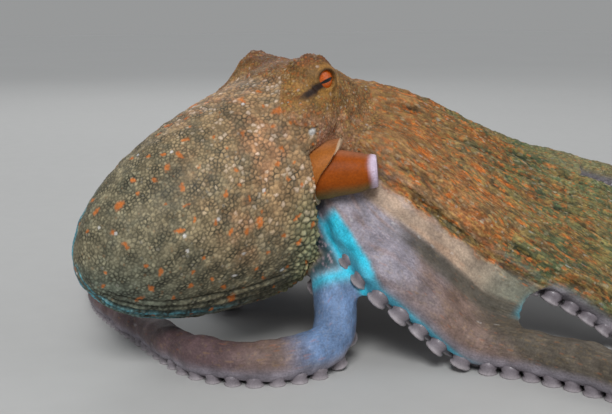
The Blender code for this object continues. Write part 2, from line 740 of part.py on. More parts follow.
def main():
    for old in list(bpy.data.objects):
        bpy.data.objects.remove(old)
    lines = {name: ArmLine(name) for name in ARMS}
    make_room(lines)
    make_head()
    rooms = {}
    whole = plain_head("whole_head")
    rooms["head"] = grown(whole, GAP)
    bpy.data.objects.remove(whole)
    for name, line in lines.items():
        rooms[name] = arm_room(name, line)
    for hand, side in ((-1, "right"), (1, "left")):
        make_ball(f"eye_{side}", eye_centre(hand), EYE_RADIUS, "eye")
    mantle = make_mantle(rooms["head"])
    rooms["mantle"] = grown(mantle, GAP)
    funnel = make_funnel(rooms["head"], rooms["mantle"])
    rooms["funnel"] = grown(funnel, GAP)
    bpy.data.objects.remove(funnel)
    for name, line in lines.items():
        make_arm(name, line, [rooms[r] for r in ("head", "mantle", "funnel")])
    for name in WEBS:
        arms = WEBS[name]["arms"]
        make_web(name, lines, [rooms[r] for r in ("head", "mantle", "funnel", *arms)])
    for room in rooms.values():
        bpy.data.objects.remove(room)


main()
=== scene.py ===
import math
from itertools import product

import bmesh
import bpy
import numpy as np
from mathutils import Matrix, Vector, kdtree


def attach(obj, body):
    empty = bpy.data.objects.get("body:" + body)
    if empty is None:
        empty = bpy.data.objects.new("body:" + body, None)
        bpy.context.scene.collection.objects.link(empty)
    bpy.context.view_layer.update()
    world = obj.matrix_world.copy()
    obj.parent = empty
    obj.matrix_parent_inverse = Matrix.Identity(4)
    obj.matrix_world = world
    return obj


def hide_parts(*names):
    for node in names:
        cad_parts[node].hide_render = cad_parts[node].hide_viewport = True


# A common octopus at life size: one skin over mantle, head, webs and arms, with its suckers, funnel and eyes.

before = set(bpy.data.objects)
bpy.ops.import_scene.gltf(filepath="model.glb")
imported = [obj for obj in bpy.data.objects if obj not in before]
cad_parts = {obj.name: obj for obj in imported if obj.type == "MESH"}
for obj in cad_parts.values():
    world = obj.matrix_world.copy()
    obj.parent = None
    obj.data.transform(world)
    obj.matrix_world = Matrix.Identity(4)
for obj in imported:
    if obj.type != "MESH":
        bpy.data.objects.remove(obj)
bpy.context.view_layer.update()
mm = 0.001
chance = np.random.default_rng(11)
shift = np.array([-0.1855, 0.0113, 0.0])  # from the point under the crown to the part's origin
print("part loaded")

view = {
    "place": (-289.3, -424.7, 169.2),  # mm from the point under the crown
    "turn": 35.0,
    "dip": 11.0,
    "lens": 58.82,
}


def addObject(name, data):
    made = bpy.data.objects.new(name, data)
    bpy.context.scene.collection.objects.link(made)
    return made


def faceOutward(mesh):
    parts = bmesh.new()
    parts.from_mesh(mesh)
    bmesh.ops.recalc_face_normals(parts, faces=parts.faces)
    parts.to_mesh(mesh)
    parts.free()


def makeCamera():
    turn, dip = math.radians(view["turn"]), math.radians(view["dip"])
    look = Vector((math.sin(turn) * math.cos(dip), math.cos(turn) * math.cos(dip), -math.sin(dip)))
    camera = bpy.data.cameras.new("camera")
    camera.sensor_width = 36
    camera.lens = view["lens"]
    camera.clip_start = 0.01
    made = addObject("camera", camera)
    made.location = Vector(np.array(view["place"]) * mm + shift)
    made.rotation_euler = look.to_track_quat("-Z", "Y").to_euler()
    bpy.context.scene.camera = made


makeCamera()

# the lines that the arms follow, worked out as in the solids

# mm from the crown: (distance, heading in degrees), (distance, height), (distance, roll in degrees)
armPlans = {
    "r4": {
        "ring": -157.5, "radius": 12.5, "length": 480,
        "headings": ((0, -80), (45, -86), (80, -176), (104, -186), (156, -276), (240, -270), (300, -292),
                     (380, -296), (425, -320), (480, -500)),
        "heights": ((0, 74), (18, 63), (45, 38), (62, 26), (82, 10), (100, -12)),
        "rolls": ((0, 0), (330, 0), (420, -25), (480, -40)),
    },
    "r3": {
        "ring": -112.5, "radius": 14.0, "length": 575,
        "headings": ((0, -92), (30, -92), (58, -46), (90, -30), (122, -62), (155, -78), (210, -78),
                     (290, -52), (370, -84), (430, -10), (490, 150), (575, 480)),
        "heights": ((0, 82), (14, 70), (48, 50), (78, 30), (107, 13), (130, -10)),
        "rolls": ((0, 0), (380, 0), (470, 35), (575, 50)),
    },
    "r2": {
        "ring": -67.5, "radius": 14.5, "length": 600,
        "headings": ((0, -52), (40, -42), (140, -36), (210, -44), (290, -14), (370, -36), (440, -100),
                     (520, -250), (600, -560)),
        "heights": ((0, 105), (25, 94), (60, 73), (105, 46), (155, 24), (200, -10)),
        "rolls": ((0, 0), (420, 0), (520, -35), (600, -50)),
    },
    "r1": {
        "ring": -22.5, "radius": 13.5, "length": 600,
        "headings": ((0, -14), (60, -12), (200, -8), (330, 6), (420, -16), (480, -110), (540, -300),
                     (600, -560)),
        "heights": ((0, 124), (15, 120), (37, 112), (73, 98), (127, 76), (205, 52), (270, 26), (325, -14)),
        "rolls": ((0, 0), (430, 0), (520, -35), (600, -50)),
    },
    "l1": {
        "ring": 22.5, "radius": 13.5, "length": 610,
        "headings": ((0, 10), (50, 6), (110, 10), (200, 4), (240, -8), (310, -8), (370, 30), (430, 50),
                     (480, 10), (535, -130), (610, -480)),
        "heights": ((0, 124), (20, 121), (50, 116), (95, 103), (165, 80), (215, 69), (275, 55), (330, 34),
                    (385, -12)),
        "rolls": ((0, 0), (430, 0), (530, -30), (610, -45)),
    },
    "l2": {
        "ring": 67.5, "radius": 14.5, "length": 590,
        "headings": ((0, 54), (60, 40), (200, 30), (300, 46), (400, 44), (470, 88), (530, 240), (590, 490)),
        "heights": ((0, 105), (40, 92), (110, 56), (165, 24), (210, -10)),
        "rolls": ((0, 0), (420, 0), (520, 30), (590, 45)),
    },
    "l3": {
        "ring": 112.5, "radius": 14.0, "length": 560,
        "headings": ((0, 98), (50, 62), (170, 46), (280, 58), (370, 52), (440, 0), (500, -150), (560, -390)),
        "heights": ((0, 82), (15, 74), (50, 54), (100, 24), (150, -10)),
        "rolls": ((0, 0), (380, 0), (470, -30), (560, -45)),
    },
    "l4": {
        "ring": 157.5, "radius": 12.5, "length": 520,
        "headings": ((0, 92), (50, 95), (110, 80), (200, 54), (300, 66), (370, 100), (430, 215), (520, 510)),
        "heights": ((0, 74), (20, 58), (60, 28), (95, -10)),
        "rolls": ((0, 0), (350, 0), (450, 30), (520, 45)),
    },
}
armNames = list(armPlans)
crown = {"centre": (12, 0, 92), "radius": 27, "tip": 46.0}
armForm = {"tipRadius": 1.35, "taper": 0.90, "oral": 0.66, "fleshOral": 0.84, "step": 2.0,
           "rounding": 40.0, "bite": 0.4, "suckerDepth": 0.36, "suckerApart": 0.88, "suckerWide": 0.46}


def eased(values, width):
    span = max(1, int(width / armForm["step"] / 2))
    kernel = np.ones(2 * span + 1) / (2 * span + 1)
    for _ in range(2):
        first = 2 * values[0] - values[span:0:-1]
        last = 2 * values[-1] - values[-2:-span - 2:-1]
        values = np.convolve(np.concatenate([first, values, last]), kernel, mode="valid")
    return values


def smoothMax(a, b, width):
    near = np.maximum(width - np.abs(a - b), 0) / width
    return np.maximum(a, b) + near * near * width / 4


def restingHeight(roll):  # of an arm's middle above the floor, in radii
    turn = 2 * np.pi * (np.arange(8) + 0.5) / 8
    across, up = np.sin(turn), np.cos(turn)
    up = np.where(up < 0, up * armForm["oral"], up)
    low = -(armForm["oral"] + armForm["suckerDepth"])
    wide = armForm["suckerApart"] / 2 + armForm["suckerWide"]
    across = np.concatenate([across, [-wide, wide]])
    up = np.concatenate([up, [low, low]])
    return (-(np.outer(np.cos(roll), up) + np.outer(np.sin(roll), across))).max(axis=1)


def makeLine(plan):
    step, length = armForm["step"], plan["length"]
    along = np.arange(0, length + step / 2, step)

    def follow(knots):
        places, values = zip(*knots)
        return eased(np.interp(along, places, values), armForm["rounding"])

    base = plan["radius"] - armForm["tipRadius"]
    radius = armForm["tipRadius"] + base * (1 - along / length) ** armForm["taper"]
    heading, roll = np.radians(follow(plan["headings"])), np.radians(follow(plan["rolls"]))
    height = smoothMax(follow(plan["heights"]), restingHeight(roll) * radius - armForm["bite"], 9)
    level = np.sqrt(np.maximum(step ** 2 - np.gradient(height) ** 2, (0.3 * step) ** 2))
    ring, tip = math.radians(plan["ring"]), math.radians(crown["tip"])
    x = crown["centre"][0] + crown["radius"] * math.cos(ring) * math.cos(tip)
    y = crown["centre"][1] + crown["radius"] * math.sin(ring)
    x = x + np.concatenate([[0], np.cumsum(np.cos(heading[:-1]) * level[:-1])])
    y = y + np.concatenate([[0], np.cumsum(np.sin(heading[:-1]) * level[:-1])])
    points = np.stack([x, y, height], axis=1) * mm + shift
    tangent = np.gradient(points, axis=0)
    tangent /= np.linalg.norm(tangent, axis=1)[:, None]
    left = np.cross([0.0, 0.0, 1.0], tangent)
    left /= np.linalg.norm(left, axis=1)[:, None]
    up = np.cross(tangent, left)
    cos, sin = np.cos(roll)[:, None], np.sin(roll)[:, None]
    return {"along": along * mm, "points": points, "radius": radius * mm, "tangent": tangent,
            "across": left * cos + up * sin, "up": up * cos - left * sin, "length": length * mm}


lines = {name: makeLine(plan) for name, plan in armPlans.items()}
for name in armNames:  # arms that crowd at the crown only touch
    most = np.full(len(lines[name]["along"]), 1.0)
    for other in armNames:
        if other != name:
            apart = lines[name]["points"][:, None, :] - lines[other]["points"][None, :100, :]
            most = np.minimum(most, np.linalg.norm(apart, axis=2).min(axis=1) / 2 - 0.3 * mm)
    lines[name]["room"] = most
for name in armNames:
    lines[name]["radius"] = -smoothMax(-lines[name]["radius"], -lines[name]["room"], 2 * mm)


def sample(line, places):  # middles, across, up, tangent and radius at distances along an arm
    found = []
    for key in ("points", "across", "up", "tangent"):
        mixed = np.stack([np.interp(places, line["along"], line[key][:, i]) for i in range(3)], axis=-1)
        if key != "points":
            mixed = mixed / np.linalg.norm(mixed, axis=-1)[..., None]
        found.append(mixed)
    return (*found, np.interp(places, line["along"], line["radius"]))


print("arm lines ready")

# the flesh: closed forms that are melted into one skin

flesh = {"voxel": 1.2, "webThick": 4.2, "webRows": 30, "webColumns": 15, "tipAtLeast": 1.9}
webPlans = (  # the two arms, how far along them it reaches, the notch in its free edge, sag and lift
    {"arms": ("r4", "r3"), "reach": (56, 106), "notch": 0.08, "sag": -2, "lift": 0.60},
    {"arms": ("r3", "r2"), "reach": (128, 134), "notch": 0.12, "sag": 6, "lift": 0.66},
    {"arms": ("r2", "r1"), "reach": (190, 216), "notch": 0.10, "sag": -3, "lift": 0.74},
    {"arms": ("r1", "l1"), "reach": (206, 246), "notch": 0.12, "sag": 7, "lift": 0.70},
    {"arms": ("l1", "l2"), "reach": (136, 134), "notch": 0.20, "sag": 8, "lift": 0.66},
    {"arms": ("l2", "l3"), "reach": (134, 128), "notch": 0.20, "sag": 8, "lift": 0.66},
    {"arms": ("l3", "l4"), "reach": (126, 104), "notch": 0.20, "sag": 6, "lift": 0.60},
    {"arms": ("l4", "r4"), "reach": (60, 46), "notch": 0.30, "sag": 2, "lift": 0.60},
)
headForm = {
    "eggs": (  # centre and radii in mm; what isn't in the middle is there on both sides
        ((4, 0, 112), (30, 29, 31)), ((13, 0, 95), (27, 29, 28)), ((-14, 0, 112), (22, 26, 27)),
        ((17, 0, 112), (20, 23, 23)), ((-5, 25, 137), (12.2, 11.8, 11.8)),
        ((-7, 0, 127), (17, 24, 15)),  # between the eyes
        ((-15, 25, 117), (19, 17, 17)),  # the neck's sides
        ((18, 0, 100), (26, 33, 27)),  # inside the ring of arms
        ((-2, 14, 133), (12.5, 12, 12)),  # the inner slopes of the eye mounds
        ((12, 13, 126), (18, 15, 13)),  # from the eyes to the crown
        ((33, 26, 108.5), (8, 7, 6.5)),  # between the roots of arms 1 and 2
    ),
    "melt": 9.0, "middle": (4, 0, 112),
}
headEggs = [
    ((x, side * y, z), radii) for (x, y, z), radii in headForm["eggs"] for side in ((-1, 1) if y else (1,))
]
mantleForm = {
    "length": 113, "halfHeight": 56, "halfWidth": 46, "middleX": -8, "axis": 86, "tipHeight": 57, "wall": 5,
    "rim": ((0, -27), (0.15, -20), (0.3, -17), (0.5, -19), (0.62, -15), (0.72, -11), (0.81, -10), (0.88, -16),
            (1, -22)),
}


def gridFaces(rows, columns, first=0, closed=True):
    r, c = np.meshgrid(np.arange(rows - 1), np.arange(columns if closed else columns - 1), indexing="ij")
    a = first + r * columns + c
    b = first + r * columns + (c + 1) % columns
    return np.stack([a, b, b + columns, a + columns], axis=-1).reshape(-1, 4).tolist()


def closedTube(rings, first):
    rows, columns = rings.shape[:2]
    verts = np.concatenate([rings.reshape(-1, 3), [rings[0].mean(axis=0)], [rings[-1].mean(axis=0)]])
    faces = gridFaces(rows, columns, first)
    start, end = first + rows * columns, first + rows * columns + 1
    last = first + (rows - 1) * columns
    faces += [(first + (i + 1) % columns, first + i, start) for i in range(columns)]
    faces += [(last + i, last + (i + 1) % columns, end) for i in range(columns)]
    return verts, faces


def joinTubes(forms):
    verts, faces, count = [], [], 0
    for rings in forms:
        v, f = closedTube(rings, count)
        verts.append(v)
        faces += f
        count += len(v)
    return np.concatenate(verts), faces


def newMesh(name, verts, faces):
    made = bpy.data.meshes.new(name)
    made.from_pydata(verts.tolist(), [], faces)
    return made


def headDistance(points):  # in mm, of points in mm from under the crown
    total = None
    for centre, radii in headEggs:
        size = np.linalg.norm((points - np.array(centre)) / np.array(radii), axis=-1)
        here = (size - 1) * min(radii)
        if total is None:
            total = here
        else:
            near = np.maximum(headForm["melt"] - np.abs(total - here), 0) / headForm["melt"]
            total = np.minimum(total, here) - near * near * headForm["melt"] / 4
    return total


def headRings(rows=70, columns=110):
    tilt = np.pi * (np.arange(rows) + 0.5) / rows
    turn = 2 * np.pi * np.arange(columns) / columns
    t, a = np.meshgrid(tilt, turn, indexing="ij")
    away = np.stack([np.sin(t) * np.cos(a), np.sin(t) * np.sin(a), np.cos(t)], axis=-1)
    low, high = np.full(t.shape, 5.0), np.full(t.shape, 80.0)
    for _ in range(22):
        middle = (low + high) / 2
        outside = headDistance(np.array(headForm["middle"]) + away * middle[..., None]) > 0
        high, low = np.where(outside, middle, high), np.where(outside, low, middle)
    return (np.array(headForm["middle"]) + away * low[..., None]) * mm + shift


def mantleRim(turn):
    places, cyanSheen = zip(*mantleForm["rim"])
    return np.interp(np.abs(turn) / np.pi, places, cyanSheen)


def mantlePoint(x, turn, scale=1.0):
    f = mantleForm
    reach = (f["middleX"] - x) / f["length"]
    size = np.sqrt(np.maximum(1 - reach * reach, 0)) * scale
    axis = f["axis"] + (f["tipHeight"] - f["axis"]) * reach
    wide, tall = np.sin(turn) * f["halfWidth"] * size, np.cos(turn) * f["halfHeight"] * size
    return np.moveaxis(np.stack([x + 0 * size, wide, axis + tall]), 0, -1) * mm + shift


def mantleRings(rows=60, columns=120):
    turn = 2 * np.pi * np.arange(columns) / columns - np.pi
    full = np.arcsin((mantleRim(turn) - mantleForm["middleX"]) / mantleForm["length"])
    rings = []
    for row in range(1, rows):
        sweep = math.pi / 2 * (1 - row / (rows - 1))
        angle = sweep + (sweep / (math.pi / 2) - 1) * full
        rings.append(mantlePoint(mantleForm["middleX"] - mantleForm["length"] * np.sin(angle), turn))
    inner = 1 - mantleForm["wall"] / mantleForm["halfWidth"]
    mouth = ((-1.6, 0.985), (-1.6, (1 + inner) / 2), (0.5, inner), (5, inner - 0.02), (13, inner - 0.06))
    for deep, scale in mouth:
        rings.append(mantlePoint(mantleRim(turn) - deep, turn, scale))
    return np.stack(rings)


def webRings(plan):  # a thick sheet as a flattened tube that runs out from the crown
    rows, columns = flesh["webRows"], flesh["webColumns"]
    q = np.linspace(0, 1, columns)[None, :]
    far = 0.05 + 0.95 * np.linspace(0, 1, rows)[:, None]
    bow = np.sin(np.pi * q)
    far = far * (1 - plan["notch"] * bow)
    one, two = (sample(lines[n], far * plan["reach"][i] * mm) for i, n in enumerate(plan["arms"]))
    up = one[2] * (1 - q)[..., None] + two[2] * q[..., None]
    radius = one[4] * (1 - q) + two[4] * q
    middle = one[0] * (1 - q)[..., None] + two[0] * q[..., None]
    middle = middle + up * (radius * plan["lift"] - plan["sag"] * mm * bow * far)[..., None]
    normal = np.cross(np.gradient(middle, axis=1), np.gradient(middle, axis=0))
    normal /= np.linalg.norm(normal, axis=2)[..., None]
    thick = flesh["webThick"] * mm / 2 * np.interp(far, [0, 0.8, 1], [1, 1, 0.7])
    top, bottom = middle + normal * thick[..., None], middle - normal * thick[..., None]
    return np.concatenate([top, bottom[:, ::-1]], axis=1)


def makeFlesh():
    forms = []
    for line in lines.values():
        places = np.append(np.arange(0, line["length"], 3 * mm), line["length"])
        middle, across, up, _, radius = sample(line, places)
        radius = np.maximum(radius, flesh["tipAtLeast"] * mm)
        turn = 2 * np.pi * (np.arange(16) + 0.5) / 16
        sideways, upright = np.sin(turn), np.cos(turn)
        upright = np.where(upright < 0, upright * armForm["fleshOral"], upright)
        reach = across[:, None] * sideways[None, :, None] + up[:, None] * upright[None, :, None]
        forms.append(middle[:, None] + reach * radius[:, None, None])
    forms += [webRings(plan) for plan in webPlans]
    forms += [headRings(), mantleRings()]
    mesh = newMesh("skin", *joinTubes(forms))
    made = addObject("skin", mesh)
    faceOutward(mesh)
    return made


def applyModifier(piece, kind, **settings):
    bpy.ops.object.select_all(action="DESELECT")
    piece.select_set(True)
    bpy.context.view_layer.objects.active = piece
    modifier = piece.modifiers.new(kind.lower(), kind)
    for key, value in settings.items():
        setattr(modifier, key, value)
    bpy.ops.object.modifier_apply(modifier=modifier.name)


skin = makeFlesh()
voxel = flesh["voxel"] * mm * 1
applyModifier(skin, "REMESH", mode="VOXEL", voxel_size=voxel, adaptivity=0)
print("flesh melted:", len(skin.data.vertices), "points")


def readPoints(mesh):
    values = np.empty(len(mesh.vertices) * 3)
    mesh.vertices.foreach_get("co", values)
    return values.reshape(-1, 3)


def readNormals(mesh):
    values = np.empty(len(mesh.vertices) * 3, np.float32)
    mesh.vertices.foreach_get("normal", values)
    return values.reshape(-1, 3).astype(float)


def writePoints(mesh, points):
    mesh.vertices.foreach_set("co", points.reshape(-1).astype(np.float32))
    mesh.update()


def readEdges(mesh):
    values = np.empty(len(mesh.edges) * 2, np.int32)
    mesh.edges.foreach_get("vertices", values)
    return values.reshape(-1, 2)


def relaxed(values, edges, amount, times):  # each point drawn towards its neighbours
    count = len(values)
    flat = values.reshape(count, -1).copy()
    one, two = edges[:, 0], edges[:, 1]
    share = 1 / np.maximum(np.bincount(one, minlength=count) + np.bincount(two, minlength=count), 1)
    amount = np.broadcast_to(np.asarray(amount, float), (count,))
    for _ in range(times):
        for column in range(flat.shape[1]):
            v = flat[:, column]
            mean = np.bincount(one, v[two], count) + np.bincount(two, v[one], count)
            flat[:, column] = v + (mean * share - v) * amount
    return flat.reshape(values.shape)


def rise(a, b, x):
    t = np.clip((x - a) / (b - a), 0, 1)
    return t * t * (3 - 2 * t)


def nearArms(points):  # for each arm its nearest place: how far off, how far along, its middle and radius
    found = []
    for name in armNames:
        line = lines[name]
        nodes = line["points"][::2]
        index = np.empty(len(points), int)
        for start in range(0, len(points), 40000):
            some = points[start:start + 40000]
            reach = (nodes ** 2).sum(axis=1)[None, :] - 2 * some @ nodes.T
            index[start:start + 40000] = reach.argmin(axis=1) * 2
        offset = points - line["points"][index]
        slide = np.clip((offset * line["tangent"][index]).sum(axis=1), -2 * mm, 2 * mm)
        place = np.clip(line["along"][index] + slide, 0, line["length"])
        middle = np.stack([np.interp(place, line["along"], line["points"][:, i]) for i in range(3)], axis=1)
        offset = points - middle
        found.append({
            "far": np.linalg.norm(offset, axis=1), "place": place, "offset": offset, "index": index,
            "radius": np.interp(place, line["along"], line["radius"]), "middle": middle,
        })
    return found


webReach = {  # the farther of each arm's two webs
    name: max(plan["reach"][plan["arms"].index(name)] for plan in webPlans if name in plan["arms"])
    for name in armNames
}


def regionOf(points):  # the two nearest arms of each point, and how much it is mantle or head
    arms = nearArms(points)
    gaps = np.stack([a["far"] - a["radius"] for a in arms])
    first = gaps.argmin(axis=0)
    pick = np.arange(len(points))
    others = gaps.copy()
    others[first, pick] = 9
    second = others.argmin(axis=0)
    near, after = gaps[first, pick] + 14 * mm, others[second, pick] + 14 * mm
    mix = np.clip(near / np.maximum(near + after, 1e-6), 0, 0.5)
    stacks = {key: np.stack([a[key] for a in arms]) for key in ("place", "radius", "offset", "middle", "far")}
    up = np.stack([lines[n]["up"][a["index"]] for n, a in zip(armNames, arms)])
    across = np.stack([lines[n]["across"][a["index"]] for n, a in zip(armNames, arms)])
    tangent = np.stack([lines[n]["tangent"][a["index"]] for n, a in zip(armNames, arms)])
    here = {key: value[first, pick] for key, value in stacks.items()}
    here.update(first=first, second=second, mix=mix, up=up[first, pick], across=across[first, pick])
    here["secondPlace"] = stacks["place"][second, pick]

    def unrolled(arm):  # round the arm from its back
        offset = stacks["offset"][arm, pick]
        turned = np.arctan2((offset * across[arm, pick]).sum(axis=1), (offset * up[arm, pick]).sum(axis=1))
        return np.minimum(np.abs(turned), 2.2) * stacks["radius"][arm, pick]

    here["lateral"] = np.maximum(near - 14 * mm, 0) + unrolled(first) * (1 - mix) + unrolled(second) * mix
    along = tangent[first, pick] * (1 - mix)[:, None] + tangent[second, pick] * mix[:, None]
    here["flow"] = along / np.linalg.norm(along, axis=1)[:, None]
    local = (points - shift) / mm
    f = mantleForm
    reach = (f["middleX"] - local[:, 0]) / f["length"]
    axis = f["axis"] + (f["tipHeight"] - f["axis"]) * reach
    tall, wide = (local[:, 2] - axis) / f["halfHeight"], local[:, 1] / f["halfWidth"]
    here["turn"] = np.arctan2(wide, tall)
    size = np.sqrt(np.maximum(1 - reach * reach, 0))
    here["shell"] = np.sqrt(tall ** 2 + wide ** 2 + reach ** 2)
    here["reach"] = reach
    here["beforeRim"] = mantleRim(here["turn"]) - local[:, 0]
    inMantle = (here["shell"] > 0.93) & (here["shell"] < 1.07) & (here["beforeRim"] > -2.5) & (size < 1.01)
    onAnArm = (here["far"] < here["radius"] * 1.15) & (here["place"] > 30 * mm) & (here["shell"] > 1.03)
    here["mantle"] = (inMantle & ~onAnArm).astype(float)
    here["headAway"] = headDistance(local)
    here["head"] = ((here["headAway"] < 3.5) & (here["mantle"] < 0.5) & (local[:, 0] < 34)).astype(float)
    here["local"] = local
    return here


def onArm(region):  # where the arm's own plain form would put each point
    offset, up, across = region["offset"], region["up"], region["across"]
    u, a = (offset * up).sum(axis=1), (offset * across).sum(axis=1)
    far = np.maximum(np.linalg.norm(offset, axis=1), 1e-7)
    squashed = np.where(u < 0, u / armForm["fleshOral"], u)
    rest = np.maximum(far ** 2 - u ** 2 - a ** 2, 0)
    size = np.sqrt(squashed ** 2 + a ** 2 + rest)
    return region["middle"] + offset * (region["radius"] / np.maximum(size, 1e-7))[:, None]


def shapeSkin():
    mesh = skin.data
    points, edges = readPoints(mesh), readEdges(mesh)
    region = regionOf(points)
    reach = np.array([webReach[n] for n in armNames])[region["first"]] * mm
    free = rise(reach + 2 * mm, reach + 34 * mm, region["place"])
    free = free * (region["mantle"] < 0.5) * (region["head"] < 0.5)
    free = relaxed(free, edges, 1.0, 3)
    points += (onArm(region) - points) * free[:, None]
    # joints between arm, web and head are rounded off, and the nape runs into the head
    eyes = np.stack([region["local"] - np.array([-5, side * 25, 137]) for side in (-1, 1)])
    byEye = 1 - rise(12, 20, np.linalg.norm(eyes, axis=2).min(axis=0))
    nape = rise(0.47, 0.36, np.abs(region["turn"]) / np.pi) * (region["beforeRim"] < 14)
    joint = (1 - free) * np.where(region["mantle"] > 0.5, 0.12 + 0.88 * nape, 1.0)
    joint = joint * (1 - 0.6 * byEye)
    joint = relaxed(joint, edges, 1.0, 4)
    points = relaxed(points, edges, 0.55 * joint, 34)
    points = relaxed(points, edges, 0.4 * np.maximum(1 - free, 0), 3)
    points[:, 2] = np.maximum(points[:, 2], 0.3 * mm)
    writePoints(mesh, points)


shapeSkin()
print("skin shaped")


def faceCorners(mesh):
    mesh.calc_loop_triangles()
    values = np.empty(len(mesh.loop_triangles) * 3, np.int32)
    mesh.loop_triangles.foreach_get("vertices", values)
    return values.reshape(-1, 3)


dense = {"armReach": 235, "arms": ("r1", "r2", "r3")}


def refineSkin():  # edges half as long where the pattern of the skin is finest
    mesh = skin.data
    points = readPoints(mesh)
    region = regionOf(points)
    upper = np.isin(region["first"], [armNames.index(n) for n in dense["arms"]])
    outward = (readNormals(mesh) * region["up"]).sum(axis=1) > -0.15
    fine = (region["mantle"] > 0.5) | (region["head"] > 0.5)
    fine |= upper & outward & (region["place"] < dense["armReach"] * mm)
    parts = bmesh.new()
    parts.from_mesh(mesh)
    parts.verts.ensure_lookup_table()
    chosen = [e for e in parts.edges if fine[e.verts[0].index] and fine[e.verts[1].index]]
    bmesh.ops.subdivide_edges(parts, edges=chosen, cuts=1, use_grid_fill=True)
    parts.to_mesh(mesh)
    parts.free()
    edges = readEdges(mesh)
    writePoints(mesh, relaxed(readPoints(mesh), edges, 0.5, 2))


refineSkin()
print("skin refined:", len(skin.data.vertices), "points")

# eyes, and the lids that the skin makes round them

eyeForm = {
    "centre": (-5, 25, 137), "radius": 9.5, "looks": (0.16, 1.0, 0.10),
    "halfWide": 5.3, "halfTall": 4.35, "lidOut": 1.3, "lidWide": 0.34, "pocket": 4.6,
    "bar": (20.5, 10.0),
}


def eyeFrame(hand):
    x, y, z = eyeForm["looks"]
    look = np.array([x, hand * y, z]) / math.sqrt(x * x + y * y + z * z)
    back = np.cross(look, [0, 0, 1]) * -hand
    back /= np.linalg.norm(back)
    up = np.cross(back, look) * -hand
    centre = np.array(eyeForm["centre"]) * np.array([1, hand, 1])
    return centre, look, back, up


def openLids(points):
    local = (points - shift) / mm
    lids = np.zeros(len(points))
    barAndLidShadow = np.zeros(len(points))
    for hand in (-1, 1):
        centre, look, back, up = eyeFrame(hand)
        offset = local - centre
        b, u, w = offset @ back, offset @ up, offset @ look
        outer = w > 2
        around = np.sqrt((b / eyeForm["halfWide"]) ** 2 + (u / eyeForm["halfTall"]) ** 2)
        ball = np.sqrt(np.maximum(eyeForm["radius"] ** 2 - b ** 2 - u ** 2, 0))
        near = outer & (around < 2.6)
        # the skin lies over the ball, swells into a lid, and turns in at the edge
        over = ball + 1.1 + eyeForm["lidOut"] * np.exp(-((around - 1.32) / eyeForm["lidWide"]) ** 2)
        settle = (1 - rise(1.2, 2.2, around)) * near
        w = np.where(near, w + (np.maximum(over, w * 0.35 + over * 0.65) - w) * settle, w)
        inside = near & (around < 1)
        t = np.clip((1 - around) / 0.34, 0, 1)
        grow = np.where(around > 0.66, 1 / np.maximum(around, 0.05), 1 / 0.66)
        b = np.where(inside, b * grow, b)
        u = np.where(inside, u * grow, u)
        w = np.where(inside, w - eyeForm["pocket"] * t, w)
        moved = centre + b[:, None] * back + u[:, None] * up + w[:, None] * look
        local = np.where(near[:, None], moved, local)
        lids = np.maximum(lids, near * (1 - rise(1.5, 2.4, around)))
        # a dark bar runs on from the pupil, back and down
        barBack, barDown = eyeForm["bar"]
        run = np.clip((b * barBack - (u + 0.5) * barDown) / (barBack ** 2 + barDown ** 2), 0, 1)
        off = np.sqrt((b - barBack * run) ** 2 + (u + 0.5 + barDown * run) ** 2) * (0.80 + 0.70 * run)
        off = off + 0.3 * waves(points, 4 * mm, 61)
        barAndLidShadow = np.maximum(barAndLidShadow, (1 - rise(1.0, 3.1, off)) * (1 - rise(0.60, 1.0, run)) * (w > -12))
        # painted shadow under the upper lid, laid in with the dark colour of the bar
        shade = np.exp(-((around - 1.06) / 0.20) ** 2) * rise(-0.5, 0.7, u / eyeForm["halfTall"]) * near
        barAndLidShadow = np.maximum(barAndLidShadow, 0.8 * shade)
    return local * mm + shift, lids, barAndLidShadow


# the pattern of the skin: cells on the mantle, drawn-out papillae on the arms

pattern = {
    "mantleCell": 2.05, "napeCell": 2.6, "rimCell": 4.0, "headCell": 1.8, "armCell": 1.85,
    "cellDepth": 0.42, "papillaHeight": 0.55, "stretch": 3.0, "shorten": 0.28,
    "patchApart": 7.5, "patchesOnMantle": 0.58, "patchesOnArms": 0.75, "whiteDots": 0.9965,
}


def scatter(points, spacing, order):  # the points kept, each about its spacing from those kept before it
    size = float(spacing.min())
    cells, kept = {}, []
    keys = np.floor(points / size).astype(int).tolist()
    for i in order:
        apart = spacing[i]
        span = int(apart / size) + 1
        px, py, pz = points[i]
        for cell in product(*(range(k - span, k + span + 1) for k in keys[i])):
            j = cells.get(cell)
            if j is not None:
                qx, qy, qz = points[j]
                if (px - qx) ** 2 + (py - qy) ** 2 + (pz - qz) ** 2 < apart * apart:
                    break
        else:
            cells[tuple(keys[i])] = i
            kept.append(i)
    return np.array(kept)


def nearest(seeds, points, count):
    tree = kdtree.KDTree(len(seeds))
    for i, place in enumerate(seeds):
        tree.insert(place, i)
    tree.balance()
    index = np.zeros((len(points), count), int)
    for row, place in enumerate(points):
        for column, (_, i, _) in enumerate(tree.find_n(place, count)):
            index[row, column] = i
    return index


def waves(points, size, seed, count=7):  # soft random swell, mostly between -1 and 1
    pick = np.random.default_rng(seed)
    total = np.zeros(len(points))
    for _ in range(count):
        direction = pick.normal(size=3)
        direction *= 2 * np.pi / (size * pick.uniform(0.7, 1.5)) / np.linalg.norm(direction)
        total += np.sin(points @ direction + pick.uniform(0, 2 * np.pi))
    return total / math.sqrt(count)


def rgb(*values):
    return np.array(values, float)


